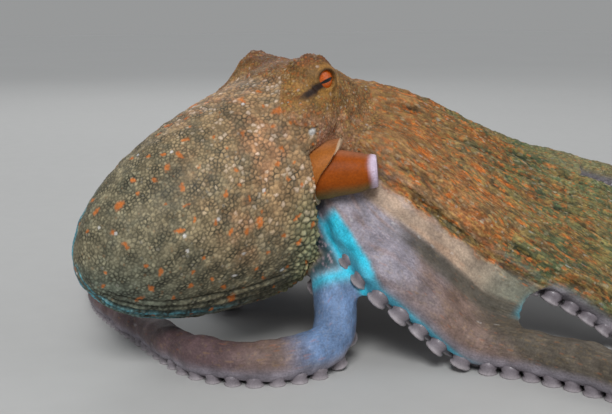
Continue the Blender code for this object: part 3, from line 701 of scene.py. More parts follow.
palette = {  # linear colours
    "mantle": rgb(0.335, 0.245, 0.128), "mantleLow": rgb(0.158, 0.178, 0.132), "nape": rgb(0.37, 0.24, 0.12),
    "rim": rgb(0.27, 0.26, 0.14), "groove": rgb(0.030, 0.030, 0.020), "orange": rgb(0.56, 0.150, 0.022),
    "nodule": rgb(0.46, 0.37, 0.30),
    "white": rgb(0.60, 0.58, 0.56), "head": rgb(0.250, 0.130, 0.042), "brow": rgb(0.17, 0.060, 0.022),
    "ochre": rgb(0.38, 0.190, 0.042), "neck": rgb(0.40, 0.215, 0.145), "bar": rgb(0.022, 0.010, 0.006),
    "upper": rgb(0.300, 0.155, 0.060), "upperFar": rgb(0.074, 0.094, 0.040), "flank": rgb(0.50, 0.365, 0.270),
    "flankFar": rgb(0.185, 0.190, 0.145), "valleyShadow": rgb(0.085, 0.076, 0.058), "lilac": rgb(0.34, 0.31, 0.36),
    "pink": rgb(0.215, 0.145, 0.120), "cyan": rgb(0.050, 0.66, 0.90), "blue": rgb(0.165, 0.27, 0.47),
    "purple": rgb(0.12, 0.075, 0.080), "oral": rgb(0.34, 0.31, 0.36), "far": rgb(0.15, 0.090, 0.048),
    "green": rgb(0.118, 0.165, 0.072), "yellow": rgb(0.48, 0.31, 0.08), "cream": rgb(0.50, 0.40, 0.25),
    "dark": rgb(0.045, 0.036, 0.016), "olive": rgb(0.098, 0.108, 0.052), "pale": rgb(0.26, 0.27, 0.13),
    "pocket": rgb(0.024, 0.070, 0.085), "gold": rgb(0.25, 0.20, 0.062), "pinkDot": rgb(0.36, 0.27, 0.30),
    "warm": rgb(0.44, 0.215, 0.105),
}


def blended(colour, other, amount):
    return colour + (other - colour) * np.clip(amount, 0, 1)[:, None]


relief = {  # mm
    "swell": 0.5, "smallSwell": 0.25, "valleyStripe": 0.30, "ripple": 1.0, "furrow": 0.38, "thread": 0.16,
    "tipCrease": 0.7, "headPapilla": 0.35,
}
share = {  # how strongly each marking covers what is under it
    "valleyShadow": 0.9, "dull": 0.85, "blue": 0.95, "purple": 0.95, "blush": 0.5, "creaseShade": 0.75, "nodule": 0.65,
    "dusk": 0.34, "gold": 0.55, "olive": 0.45, "yellow": 0.28, "cream": 0.3, "dark": 0.35, "patch": 0.8,
    "dot": 0.8, "rippleShade": 0.32, "threadShade": 0.18, "furrowShade": 0.42,
}


class Coat:  # colours laid over each other, point by point
    def __init__(self, colour, count):
        self.tint = np.tile(palette[colour], (count, 1))

    def add(self, colour, amount):
        over = palette[colour] if isinstance(colour, str) else colour
        self.tint = blended(self.tint, over, amount)

    def shade(self, amount):
        self.tint = self.tint * amount[:, None]


def headCoat(points, local):
    red = rise(0.1, 1.2, waves(points, 8 * mm, 57) + 0.8 * waves(points, 3 * mm, 58))
    light = rise(0.0, 1.2, waves(points, 6 * mm, 84) + 0.7 * waves(points, 2.6 * mm, 85))
    eyesAway = np.stack([local - np.array([-9, side * 30, 134]) for side in (-1, 1)])
    byEye = np.exp(-(np.linalg.norm(eyesAway, axis=2).min(axis=0) / 15) ** 2)
    skull = Coat("head", len(points))
    skull.add("neck", rise(126, 112, local[:, 2]) * rise(20, -8, local[:, 0]))
    skull.add("brow", rise(139, 146, local[:, 2]) * 0.8)
    skull.add(palette["brow"] * 1.1, red * 0.62)
    skull.add("ochre", np.clip(byEye * 0.75 + light * 0.30, 0, 1) * rise(147, 141, local[:, 2]))
    skull.add(palette["neck"] * 1.2, light * rise(128, 116, local[:, 2]) * 0.6)
    skull.add("upper", rise(4, 26, local[:, 0]) * 0.6)
    return skull.tint


def mantleCoat(points, normals, region, fold, rimPlates):
    local, reach, beforeRim = region["local"], region["reach"], region["beforeRim"]
    turn = np.abs(region["turn"]) / np.pi
    seen = local - np.array(view["place"])  # a painted cyan sheen follows the mantle's outline as seen from the camera
    seen = seen / np.linalg.norm(seen, axis=1)[:, None]
    rosy = rise(-0.2, 1.2, waves(points, 24 * mm, 55) + 0.5 * waves(points, 8 * mm, 56))
    shell = Coat("mantle", len(points))
    shell.add("mantleLow", rise(0.35, 0.85, turn) * 0.6 + rise(0.35, 0.95, reach) * 0.55)
    shell.add("nape", rise(45, 8, beforeRim) * rise(0.62, 0.4, turn))
    shell.add("warm", (0.25 + 0.75 * rosy) * rise(0.75, 0.3, reach) * rise(0.70, 0.5, turn) * 0.75)
    shell.add("rim", rimPlates)
    # painted cyan sheen: a band along one keel fold, and a thin line where the skin turns edge-on to the
    # camera
    cyanSheen = np.exp(-((fold - 0.835) / 0.020) ** 2) * rise(0.25, 0.5, reach)
    outline = np.abs((normals * seen).sum(axis=1) + 0.05)
    cyanSheen = cyanSheen + rise(0.16, 0.04, outline) * rise(0.5, 0.7, reach) * rise(95, 65, local[:, 2])
    shell.add(palette["cyan"] * 0.8, np.clip(cyanSheen, 0, 1) * 0.75)
    return shell.tint


keels = (  # place round the mantle from 0 on its back to 1, height in mm, and width
    (0.905, 0.9, 0.013), (0.865, 1.2, 0.012), (0.825, 1.4, 0.013), (0.785, 1.1, 0.012), (0.748, 0.8, 0.010),
)


def keelFolds(fold, region):  # low along the mantle's sides
    keel, creaseShade = 0, 0
    for place, high, wide in keels:
        furrow = np.exp(-((fold - place + 0.02) / 0.006) ** 2)
        keel = keel + high * (np.exp(-((fold - place) / wide) ** 2) - 0.8 * furrow)
        creaseShade = creaseShade + furrow
    share = region["mantle"] * rise(1.0, 0.85, region["reach"]) * rise(-0.05, 0.25, region["reach"])
    return keel * share, creaseShade * share


browPapillae = (  # place, height and width in mm, over the eyes and on the nape
    ((-9, 24, 150), 3.0, 3.4), ((-2, 27, 149), 1.8, 2.6), ((-14, 20, 147), 2.0, 3.0),
    ((-9, -24, 149), 1.5, 3.0), ((-2, -27, 149), 1.2, 2.4), ((-15, -19, 146), 1.6, 2.8),
    ((-22, 6, 139), 1.4, 3.0), ((-30, -10, 138), 1.3, 3.0), ((6, 3, 142), 1.0, 2.5),
)
whiteSpots = (((-17, -41, 114), 2.0), ((-17, -42.5, 105), 1.9))  # place and width in mm, by the funnel


def cellPattern(points, seeds, stretch, flow):  # each point's cell, and how far its seed and border are
    found = nearest(seeds, points, 5)
    reach = np.empty(found.shape)
    for k in range(5):
        i = found[:, k]
        offset = points - seeds[i]
        ahead = (offset * flow[i]).sum(axis=1)
        squared = (offset ** 2).sum(axis=1)
        reach[:, k] = np.sqrt(np.maximum(squared - ahead ** 2 * (1 - 1 / stretch[i] ** 2), 0))
    rank = reach.argsort(axis=1)
    pick = np.arange(len(points))
    one, two = found[pick, rank[:, 0]], found[pick, rank[:, 1]]
    nearOne, nearTwo = reach[pick, rank[:, 0]], reach[pick, rank[:, 1]]
    gap = np.linalg.norm(seeds[one] - seeds[two], axis=1)
    return one, nearOne, (nearTwo ** 2 - nearOne ** 2) / (2 * np.maximum(gap, 1e-5)) / mm


def dressSkin():
    mesh = skin.data
    points, edges = readPoints(mesh), readEdges(mesh)
    region = regionOf(points)
    points, lids, barAndLidShadow = openLids(points)
    normals = readNormals(mesh)
    local = region["local"]
    count = len(points)

    def soft(field, times):
        return relaxed(field, edges, 0.8, times)

    def swell(size, seed):
        return waves(points, size * mm, seed)

    def streaks(size, seed):  # the same, drawn out along the arms
        return waves(sheet, size * mm, seed)

    def on(*numbers):
        return np.isin(firstName, [side + number for side in "rl" for number in numbers])

    def between(a, b):  # the web or join between two neighbouring arms, on both sides of the body
        i, j = region["first"], region["second"]
        made = np.zeros(count, bool)
        for side in "rl":
            m, n = armNames.index(side + a), armNames.index(side + b)
            made |= ((i == m) & (j == n)) | ((i == n) & (j == m))
        return made

    mantle, head = region["mantle"], region["head"]
    mantleSoft, headSoft = soft(mantle, 6), soft(head, 10)
    oral = soft(rise(0.10, -0.45, (normals * region["up"]).sum(axis=1)) * (1 - mantle) * (1 - head), 3)
    along = region["place"] / mm * (1 - region["mix"]) + region["secondPlace"] / mm * region["mix"]
    turn = np.abs(region["turn"]) / np.pi
    firstName = np.array(armNames)[region["first"]]
    side = (region["offset"] * region["across"]).sum(axis=1) / region["radius"]
    low = np.where(np.char.startswith(firstName, "r"), -side, side)  # towards the belly on both sides
    height = (region["offset"] * region["up"]).sum(axis=1) / region["radius"]
    slope = np.degrees(np.arctan2(low, height))  # 0 on the arm's back, 90 on its belly side
    # a flat map of the arms, shortened along them, so that patterns on it run along the arms
    belt = np.clip(low, -1, 1) * 6 * (1 - 2 * region["mix"]) ** 2
    sheet = np.stack([along * pattern["shorten"], region["lateral"] / mm, belt], axis=1) * mm
    # low folds and swellings
    lift = relief["swell"] * swell(26, 3) * (1 - mantle * 0.6) * (1 - lids)
    lift = lift + relief["smallSwell"] * swell(9, 4) * (1 - lids)
    body = (mantle < 0.5) & (head < 0.5)
    onThird = on("3")
    across23 = np.where(onThird, 1 - region["mix"], region["mix"])  # from the second arm to the third
    # painted shadow in the valley between the second and third arms, where the relief also has stripes
    valleyShadow = between("2", "3") * rise(0.50, 0.56, across23) * rise(0.74, 0.64, across23) * rise(28, 60, along)
    valleyShadow = soft(valleyShadow * body, 3)
    uneven = across23 + 0.018 * streaks(4, 79) + 0.010 * streaks(1.6, 80)
    belly = on("3", "4") | (between("2", "3") & (uneven > 0.335))
    belly = soft((belly & body).astype(float), 6)
    stripe = np.sin(region["mix"] * 60 + 1.5 * swell(30, 5))
    lift = lift + relief["valleyStripe"] * stripe * valleyShadow
    upperSide = body * (1 - belly)
    ripple = np.cos(region["lateral"] / mm * 0.72 + 1.3 * swell(60, 71))
    ripple = ripple * (0.65 + 0.35 * swell(35, 72))
    ripple = soft(ripple * upperSide * rise(230, 150, along) * rise(8, 30, along), 2)
    furrows = rise(-0.35, -0.85, ripple) * rise(-1.0, 0.4, streaks(16, 78))
    lift = lift + relief["ripple"] * ripple - relief["furrow"] * furrows
    threads = np.sin(region["lateral"] / mm * 2.33 + 2.2 * streaks(14, 76)) * (0.55 + 0.45 * streaks(8, 77))
    finest = threads
    threads = threads * upperSide * (1 - oral) * rise(260, 180, along)
    lift = lift + relief["thread"] * threads
    # keel folds low along the mantle's sides
    fold = turn + 0.012 * swell(40, 6)
    keel, creaseShade = keelFolds(fold, region)
    crease = np.exp(-(((region["reach"] - 0.90 + 0.03 * swell(35, 8)) / 0.012) ** 2))
    lift = lift + keel - crease * mantle * relief["tipCrease"] * rise(0.35, 0.55, turn)
    # the seeds of the cells
    rimPlates = mantle * rise(20, 6, region["beforeRim"]) * rise(0.42, 0.58, turn)
    napeCells = mantle * rise(60, 15, region["beforeRim"]) * (1 - rimPlates)
    spacing = np.full(count, pattern["armCell"])
    spacing = np.where(head > 0.5, pattern["headCell"], spacing)
    mantleCell, napeCell, rimCell = (pattern[name] for name in ("mantleCell", "napeCell", "rimCell"))
    onMantle = mantleCell + (napeCell - mantleCell) * napeCells + (rimCell - mantleCell) * rimPlates
    spacing = np.where(mantle > 0.5, onMantle, spacing)
    spacing = spacing * 0.86 * mm * chance.uniform(0.68, 1.25, count)
    smooth = belly * 0.85 * (1 - mantle) * (1 - head)
    eligible = np.flatnonzero((oral < 0.6) & (lids < 0.95))
    order = chance.permutation(eligible)
    seeds = scatter(points, spacing, order.tolist())
    print("cells:", len(seeds))
    stretch = np.where(head[seeds] > 0.5, 1.15, pattern["stretch"])
    onMantle = 1.05 + 0.75 * rise(0.5, 0.75, turn[seeds]) * (1 - rimPlates[seeds])
    stretch = np.where(mantle[seeds] > 0.5, onMantle, stretch)
    stretch = stretch * np.where((mantle[seeds] < 0.5) & (smooth[seeds] > 0.5), 0.8, 1.0)
    flow = np.where(mantle[seeds][:, None] > 0.5, rgb(0.97, 0.0, 0.24), region["flow"][seeds])
    one, nearOne, border = cellPattern(points, points[seeds], stretch, flow)
    groove = rise(0.05, 0.55, border)
    luck = chance.uniform(0, 1, len(seeds))
    size = chance.uniform(0.35, 1.0, len(seeds))
    kind, grown = luck[one], size[one]
    # relief
    dome = np.sqrt(np.clip(border / 1.6, 0, 1))
    cells = mantle + head * 0.45
    deeper = 1 + 1.3 * rimPlates + 0.5 * napeCells
    lift = lift + (dome - 0.6) * pattern["cellDepth"] * cells * deeper * (1 - lids)
    rimDrop = np.exp(-((region["beforeRim"] - 1.0) / 3.0) ** 2) * mantle
    lift = lift + rimPlates * (0.9 + 0.8 * (kind - 0.5)) * dome - rimDrop * 0.4
    papilla = np.clip(1 - nearOne / mm / (1.05 * grown + 0.25), 0, 1)
    papilla = papilla * papilla * (3 - 2 * papilla)
    onArms = (1 - mantle) * (1 - head) * (1 - smooth * 0.75) * (1 - oral)
    fade = rise(420, 240, along)
    lift = lift + papilla * pattern["papillaHeight"] * grown * onArms * (0.35 + 0.65 * fade)
    lift = lift + papilla * relief["headPapilla"] * head * (1 - lids)
    # a few tall soft papillae over the eyes and on the nape
    for place, tall, wide in browPapillae:
        away = np.linalg.norm(local - np.array(place), axis=1)
        lift = lift + tall * np.exp(-(away / wide) ** 2) * (1 - lids)
    lift = lift * (1 - barAndLidShadow)
    free = np.clip(region["radius"] / (4 * mm), 0.25, 1)
    points = points + normals * (lift * mm * np.where(mantle + head > 0.5, 1, free))[:, None]
    points[:, 2] = np.clip(points[:, 2], 0.3 * mm, 0.1515)
    # colours, broad first
    coat = Coat("upper", count)
    early = on("1") * 30.0
    coat.add("upperFar", rise(48, 125, along + early + 10 * swell(25, 21)))
    coat.add("green", rise(-0.2, 1.0, swell(45, 22)) * rise(70, 150, along + early))
    coat.add("green", on("1") * rise(90, 170, along) * 0.6)
    coat.add("pale", np.isin(firstName, ["l1"]) * rise(170, 240, along) * (1 - rise(330, 420, along)))
    under = Coat("lilac", count)
    under.add("pink", rise(48, 84, along + 5 * swell(18, 23)))
    under.add("far", rise(150, 250, along) * 0.7)
    coat.add(under.tint, belly)
    flank = between("2", "3") * rise(0.29, 0.37, uneven) * rise(0.58, 0.50, across23)
    flank = flank + on("2") * rise(112, 124, slope) * rise(85, 100, along)
    flank = soft(np.clip(flank, 0, 1) * body * rise(330, 200, along), 3)
    coat.add("flank", flank)
    coat.add("flankFar", flank * rise(60, 120, along))
    blush = rise(0.0, 1.2, streaks(5, 81)) * (flank + 0.5 * belly * (1 - on("4")))
    coat.add("warm", blush * rise(100, 20, along) * share["blush"])
    clouds = streaks(3.2, 82) + 0.7 * swell(1.6, 83)
    coat.shade(1 + 0.10 * clouds * belly)
    # the valley's painted shadow
    coat.add("valleyShadow", valleyShadow * share["valleyShadow"])
    dull = rise(105, 135, along + 0.3 * (60 - np.clip(slope, 0, 120)))
    dull = soft(onThird * dull * body * rise(260, 200, along), 3)
    coat.add(palette["valleyShadow"] * 1.15 * (1 + 0.25 * finest)[:, None], dull * share["dull"])
    lowest = on("4").astype(float)
    onArm4 = region["place"] / mm
    coat.add("blue", soft(lowest * rise(44, 52, onArm4) * rise(112, 92, onArm4), 3) * share["blue"])
    coat.add("purple", lowest * rise(95, 125, along) * share["purple"])
    # turquoise on the belly side of the third arm, and a dark dotted pocket between it and the fourth, partly
    # painted shade
    start = np.interp(along, (0, 30, 46, 58, 110), (50, 52, 72, 108, 120))
    turquoise = onThird * rise(start - 8, start + 6, slope) * rise(13, 20, along) * rise(122, 96, along)
    turquoise = turquoise * (across23 > 0.5)
    turquoise = turquoise + lowest * between("3", "4") * rise(50, 42, onArm4) * rise(0.42, 0.5, region["mix"])
    turquoise = turquoise + lowest * np.exp(-((onArm4 - 47) / 3.0) ** 2)
    notch = between("2", "3") * rise(0.3, 0.42, region["mix"]) * rise(116, 124, along) * 0.6
    turquoise = soft(np.clip(turquoise + notch, 0, 1) * body, 3)
    pocket = soft(lowest * body * rise(47, 40, onArm4), 3) * (1 - turquoise)
    # the pocket is the skin's dark teal, painted darker towards the crown as painted shade in the recess
    pocketShade = 0.45 + 0.55 * rise(18, 48, onArm4)
    coat.add(palette["pocket"] * pocketShade[:, None], pocket)
    coat.add("cyan", turquoise)
    far = rise(190, 330, along)
    coat.add("far", far * 0.6 * (1 - lowest))
    coat.add("oral", oral * (1 - turquoise * 0.7) * (1 - pocket) * 0.85)
    coat.add(headCoat(points, local), headSoft)
    coat.add(palette["ochre"] * 0.8, lids * 0.6)
    coat.add(mantleCoat(points, normals, region, fold, rimPlates), mantleSoft)
    # cell by cell
    vary = (1 + 0.75 * (kind - 0.5) * (mantle + 0.6 * head + 0.3 * onArms))
    pale = mantle * (kind > 0.89) * rise(75, 25, region["beforeRim"]) * rise(0.62, 0.45, turn) * groove
    coat.add("nodule", pale * share["nodule"])
    dusk = rise(0.1, 1.2, swell(12, 73) + 0.7 * swell(4, 74)) * mantle
    coat.add(palette["mantleLow"] * 0.75, dusk * share["dusk"])
    # each cell's own random tone, with its centre painted lighter as a painted highlight on its dome
    coat.shade(vary * (0.86 + 0.24 * dome * np.clip(mantle + 0.5 * head, 0, 1)))
    # painted shade in the grooves between the cells and in the creases beside the keel folds
    deep = (1 - groove) * np.clip(mantle + 0.45 * head, 0, 1) * (1 - lids * 0.6)
    coat.add("groove", deep * (0.85 - 0.15 * napeCells) * (0.75 + 0.35 * swell(7, 75)))
    coat.add("groove", creaseShade * share["creaseShade"])
    # papillae in orange, tan, cream and olive
    quiet = (1 - 0.45 * head) * (1 - 0.8 * flank) * (1 - 0.8 * valleyShadow)
    quiet = quiet * (1 - turquoise) * (1 - barAndLidShadow) * (1 - pocket)
    spotted = papilla * (1 - oral) * (1 - smooth * 0.85) * (1 - mantle) * (1 - lids)
    spotted = rise(0.05, 0.6, spotted) * quiet * (1 + head)
    isOrange, isYellow = (kind < 0.20) & (belly < 0.4), (kind >= 0.20) & (kind < 0.46)
    isCream, isDark = (kind >= 0.46) & (kind < 0.54), kind >= 0.80
    warm = rise(200, 60, along) * 0.85 + 0.15
    blotch = rise(-0.5, 1.2, streaks(11, 51) + 0.5 * streaks(4.5, 52)) * onArms * (1 - belly)
    gold = rise(0.1, 1.2, streaks(13, 86) + 0.4 * streaks(4, 87))
    gold = gold * rise(30, 80, along) * rise(260, 160, along)
    coat.add("gold", gold * upperSide * onArms * (1 - flank) * share["gold"])
    # painted shade and highlight that follow the ripples, threads and furrows of the relief
    foldShading = 1 + share["rippleShade"] * ripple + share["threadShade"] * threads
    coat.shade(foldShading - share["furrowShade"] * furrows)
    coat.add(palette["orange"] * 0.75, blotch * (0.04 + 0.38 * warm) * (1 - flank) * (1 - valleyShadow))
    grey = rise(0.1, 1.4, streaks(9, 53) + 0.5 * streaks(4, 54)) * onArms * (1 - belly)
    coat.add("olive", grey * share["olive"] * (1 - flank) * (1 - valleyShadow))
    coat.add("orange", spotted * isOrange * (0.08 + 0.30 * warm))
    coat.add("yellow", spotted * isYellow * share["yellow"])
    coat.add("cream", spotted * isCream * share["cream"])
    coat.add("dark", spotted * isDark * share["dark"])
    # orange patches and a few white dots
    patches = np.flatnonzero(((mantle > 0.5) | (onArms > 0.5)) & (oral < 0.3))
    apart = np.full(count, pattern["patchApart"] * mm)
    patches = scatter(points, apart, chance.permutation(patches).tolist())
    likely = pattern["patchesOnArms"] * rise(330, 160, along[patches])
    likely = np.where(mantle[patches] > 0.5, pattern["patchesOnMantle"], likely)
    patches = patches[chance.uniform(0, 1, len(patches)) < likely]
    about = nearest(points[patches], points, 1)[:, 0]
    broad = chance.uniform(0.7, 1.9, len(patches))
    broad = broad * np.where(chance.uniform(0, 1, len(patches)) > 0.9, 1.9, 1)
    broad = broad * np.where(mantle[patches] > 0.5, 0.84, 0.66)
    offset = points - points[patches][about]
    aims = chance.normal(size=(len(patches), 3)) + rgb(0.3, 0, 0.9)
    aims = (aims / np.linalg.norm(aims, axis=1)[:, None])[about]
    ahead = (offset * np.where(mantle[:, None] > 0.5, aims, region["flow"])).sum(axis=1)
    drawn = np.where(mantle > 0.5, 0.75, 0.93)
    away = np.sqrt(np.maximum((offset ** 2).sum(axis=1) - drawn * ahead ** 2, 0)) / mm + 0.35 * swell(2.2, 31)
    patch = rise(broad[about], broad[about] * 0.45, away)
    patch = patch * np.where(mantle + head > 0.5, 1, 0.35 + 0.65 * rise(210, 70, along + early))
    coat.add("orange", patch * share["patch"] * (1 - oral) * (1 - lids) * (1 - belly) * quiet)
    dots = luck > pattern["whiteDots"]
    white = dots[one] * rise(1.1, 0.5, nearOne / mm) * (1 - oral) * (0.35 + 0.65 * mantle)
    coat.add("white", white * share["dot"])
    pinkDots = rise(0.65, 0.3, nearOne / mm) * pocket * (kind > 0.62)
    coat.add("pinkDot", pinkDots * share["dot"])
    for place, wide in whiteSpots:
        away = np.linalg.norm(local - np.array(place), axis=1)
        coat.add("white", rise(wide + 0.4, wide - 0.9, away))
    # the dark eye bar, and the painted shadow under the upper lid, both in the bar's colour
    coat.add("bar", barAndLidShadow)
    shade = np.clip(1 + 0.10 * swell(14, 41) + 0.07 * swell(5, 42), 0.6, 1.4)
    coat.shade(shade)
    writePoints(mesh, points)
    calm = (1 - 0.80 * belly) * (1 - 0.45 * flank) * (1 - 0.2 * valleyShadow) * (1 - turquoise) * (1 - pocket)
    gently = np.where(body, 0.35 + 0.65 * rise(8, 45, along), 1)
    speckle = np.clip(calm * soft(gently, 6) * (1 - oral) * (1 - barAndLidShadow) * (1 - 0.7 * lids), 0, 1)
    return region, np.clip(coat.tint, 0.004, 0.9), {"speckle": speckle, "place": sheet / mm}


region, tint, masks = dressSkin()
print("skin patterned")


# materials

def fill(tree, node, inputs):  # an input is either another node's output or a plain value
    for key, value in inputs.items():
        if isinstance(value, bpy.types.NodeSocket):
            tree.links.new(value, node.inputs[key])
        else:
            node.inputs[key].default_value = value
    return node


def addNode(tree, kind, inputs=None, **settings):
    made = tree.nodes.new(kind)
    for key, value in settings.items():
        setattr(made, key, value)
    return fill(tree, made, inputs or {})


def stored(tree, name, output):
    return addNode(tree, "ShaderNodeAttribute", attribute_name=name).outputs[output]


def maths(tree, kind, *values):
    return addNode(tree, "ShaderNodeMath", dict(enumerate(values)), operation=kind).outputs[0]


def ranged(tree, value, *limits, clamp=True):  # from the first two limits to the last two
    return addNode(tree, "ShaderNodeMapRange", dict(enumerate((value, *limits))), clamp=clamp).outputs[0]


def grow(tree, vector, amount):
    return addNode(tree, "ShaderNodeVectorMath", {0: vector, "Scale": amount}, operation="SCALE").outputs[0]


def stepped(tree, value, stops):  # one plain colour from each stop to the next
    ramp = addNode(tree, "ShaderNodeValToRGB", {0: value})
    ramp.color_ramp.interpolation = "CONSTANT"
    elements = ramp.color_ramp.elements
    elements[0].color = (*stops[0][1], 1)
    elements[1].position, elements[1].color = stops[1][0], (*stops[1][1], 1)
    for place, colour in stops[2:]:
        elements.new(place).color = (*colour, 1)
    return ramp.outputs[0]


def newGroup(name, inputs, outputs):
    tree = bpy.data.node_groups.new(name, "ShaderNodeTree")
    for label, value in inputs.items():
        tree.interface.new_socket(label, in_out="INPUT", socket_type="NodeSocketFloat").default_value = value
    for label in outputs:
        tree.interface.new_socket(label, in_out="OUTPUT", socket_type="NodeSocketFloat")
    return tree, tree.nodes.new("NodeGroupInput"), tree.nodes.new("NodeGroupOutput")


def makeMottle():  # soft patches and fine grain, about 1 in the middle
    tree, given, out = newGroup("mottle", {"Broad": 90.0, "Fine": 900.0, "Amount": 0.3}, ["Value"])
    place = addNode(tree, "ShaderNodeTexCoord").outputs["Object"]
    noises = []
    for label, detail in (("Broad", 3.0), ("Fine", 2.0)):
        inputs = {"Vector": place, "Scale": given.outputs[label], "Detail": detail}
        noises.append(addNode(tree, "ShaderNodeTexNoise", inputs).outputs["Fac"])
    less = maths(tree, "SUBTRACT", maths(tree, "ADD", *noises), 1.0)
    value = maths(tree, "MULTIPLY_ADD", less, given.outputs["Amount"], 1.0)
    fill(tree, out, {"Value": value})
    return tree


def makeDots():  # small round dots scattered over the skin
    tree, given, out = newGroup("dots", {"Scale": 420.0, "Size": 0.22}, ["Mask", "Random"])
    place = addNode(tree, "ShaderNodeTexCoord").outputs["Object"]
    cell = addNode(tree, "ShaderNodeTexVoronoi", {"Vector": place, "Scale": given.outputs["Scale"]})
    pick = addNode(tree, "ShaderNodeSeparateColor", {0: cell.outputs["Color"]})
    small = maths(tree, "MULTIPLY", given.outputs["Size"], pick.outputs["Green"])
    mask = maths(tree, "LESS_THAN", cell.outputs["Distance"], small)
    fill(tree, out, {"Mask": mask, "Random": pick.outputs["Red"]})
    return tree


def makeWrinkles():  # height of fine wrinkles and pores
    tree, given, out = newGroup("wrinkles", {"Scale": 700.0}, ["Height"])
    place = addNode(tree, "ShaderNodeTexCoord").outputs["Object"]
    cell = addNode(tree, "ShaderNodeTexVoronoi", {"Vector": place, "Scale": given.outputs["Scale"]},
                   feature="DISTANCE_TO_EDGE")
    edge = maths(tree, "MINIMUM", cell.outputs["Distance"], 0.25)
    fine = addNode(tree, "ShaderNodeTexNoise", {"Vector": place, "Scale": 1800.0, "Detail": 3.0})
    height = maths(tree, "MULTIPLY_ADD", edge, 2.0, fine.outputs["Fac"])
    fill(tree, out, {"Height": height})
    return tree


def makeStrands():  # fine streaks and drawn-out spots that run along the arms
    tree, _, out = newGroup("strands", {}, ["Streak", "Mask", "Random"])
    place = stored(tree, "place", "Vector")
    noise = addNode(tree, "ShaderNodeTexNoise", {"Vector": place, "Scale": 1.1, "Detail": 3.0})
    streak = ranged(tree, noise.outputs["Fac"], 0.3, 0.7, 0.52, 1.48, clamp=False)
    cell = addNode(tree, "ShaderNodeTexVoronoi", {"Vector": place, "Scale": 0.72})
    pick = addNode(tree, "ShaderNodeSeparateColor", {0: cell.outputs["Color"]})
    small = maths(tree, "MULTIPLY", pick.outputs["Green"], 0.42)
    mask = maths(tree, "SUBTRACT", small, cell.outputs["Distance"])
    soft = ranged(tree, mask, 0.0, 0.12, 0.0, 1.0)
    fill(tree, out, {"Streak": streak, "Mask": soft, "Random": pick.outputs["Red"]})
    return tree


groups = {"mottle": makeMottle(), "dots": makeDots(), "wrinkles": makeWrinkles(), "strands": makeStrands()}


def useGroup(tree, name, inputs=None):
    return addNode(tree, "ShaderNodeGroup", inputs, node_tree=groups[name])


def mottled(tree, broad, fine, amount):
    return useGroup(tree, "mottle", {"Broad": broad, "Fine": fine, "Amount": amount}).outputs["Value"]


def wrinkled(tree, scale):
    return useGroup(tree, "wrinkles", {"Scale": scale}).outputs["Height"]


def bumped(tree, height, strength, distance):
    inputs = {"Height": height, "Strength": strength, "Distance": distance}
    return addNode(tree, "ShaderNodeBump", inputs).outputs[0]


def newMaterial(name):
    made = bpy.data.materials.new(name)
    made.use_nodes = True
    made.node_tree.nodes.clear()
    out = made.node_tree.nodes.new("ShaderNodeOutputMaterial")
    shader = made.node_tree.nodes.new("ShaderNodeBsdfPrincipled")
    made.node_tree.links.new(shader.outputs[0], out.inputs["Surface"])
    return made, made.node_tree, shader


def mixed(tree, factor, a, b):
    return addNode(tree, "ShaderNodeMix", {0: factor, 6: a, 7: b}, data_type="RGBA").outputs[2]


spots = {  # where each colour begins, and the colour
    "drawnOut": ((0, (0.58, 0.16, 0.03)), (0.38, (0.46, 0.27, 0.08)), (0.60, (0.030, 0.024, 0.012)),
                 (0.90, (0.50, 0.42, 0.28))),
    "round": ((0, (0.10, 0.085, 0.05)), (0.4, (0.45, 0.19, 0.06)), (0.65, (0.50, 0.40, 0.22)),
              (0.88, (0.60, 0.56, 0.50))),
}


def makeSkinMaterial(name, dotAmount, coat, wrinkle, grain, strands=0.0):
    made, tree, shader = newMaterial(name)
    speckle = stored(tree, "speckle", "Fac")
    scaled = grow(tree, stored(tree, "tint", "Color"), mottled(tree, 110.0, 1000.0, grain))
    if strands:
        fibre = useGroup(tree, "strands")
        streak = maths(tree, "SUBTRACT", fibre.outputs["Streak"], 1.0)
        streak = maths(tree, "MULTIPLY", streak, speckle)
        streak = maths(tree, "ADD", streak, 1.0)
        scaled = grow(tree, scaled, streak)
        spotColour = stepped(tree, fibre.outputs["Random"], spots["drawnOut"])
        amount = maths(tree, "MULTIPLY", fibre.outputs["Mask"], speckle)
        amount = maths(tree, "MULTIPLY", amount, strands)
        scaled = mixed(tree, amount, scaled, spotColour)
    dots = useGroup(tree, "dots", {"Scale": 480.0, "Size": 0.42})
    dotColour = stepped(tree, dots.outputs["Random"], spots["round"])
    amount = maths(tree, "MULTIPLY", dots.outputs["Mask"], speckle)
    amount = maths(tree, "MULTIPLY", amount, dotAmount)
    height = wrinkled(tree, 900.0)
    if strands:
        height = maths(tree, "MULTIPLY_ADD", fibre.outputs["Streak"], 1.5, height)
    fill(tree, shader, {
        "Base Color": mixed(tree, amount, scaled, dotColour),
        "Roughness": ranged(tree, mottled(tree, 60.0, 500.0, 0.5), 0.7, 1.3, 0.42, 0.68),
        "Normal": bumped(tree, height, wrinkle, 0.0004),
        "Coat Weight": coat, "Coat Roughness": 0.3, "Specular IOR Level": 0.24,
    })
    return made


skinMaterials = {
    "mantle_skin": makeSkinMaterial("mantleSkin", 0.14, 0.03, 0.35, 0.9),
    "head_skin": makeSkinMaterial("headSkin", 0.30, 0.04, 0.4, 1.5),
    "arm_skin": makeSkinMaterial("armSkin", 0.20, 0.04, 0.3, 0.9, 0.7),
}


def writeAttribute(mesh, name, values, kind="FLOAT"):
    made = mesh.attributes.new(name, kind, "POINT")
    if kind == "FLOAT":
        made.data.foreach_set("value", values.astype(np.float32))
    elif kind == "FLOAT_VECTOR":
        made.data.foreach_set("vector", values.astype(np.float32).reshape(-1))
    else:
        full = np.ones((len(values), 4), np.float32)
        full[:, :3] = values
        made.data.foreach_set("color", full.reshape(-1))


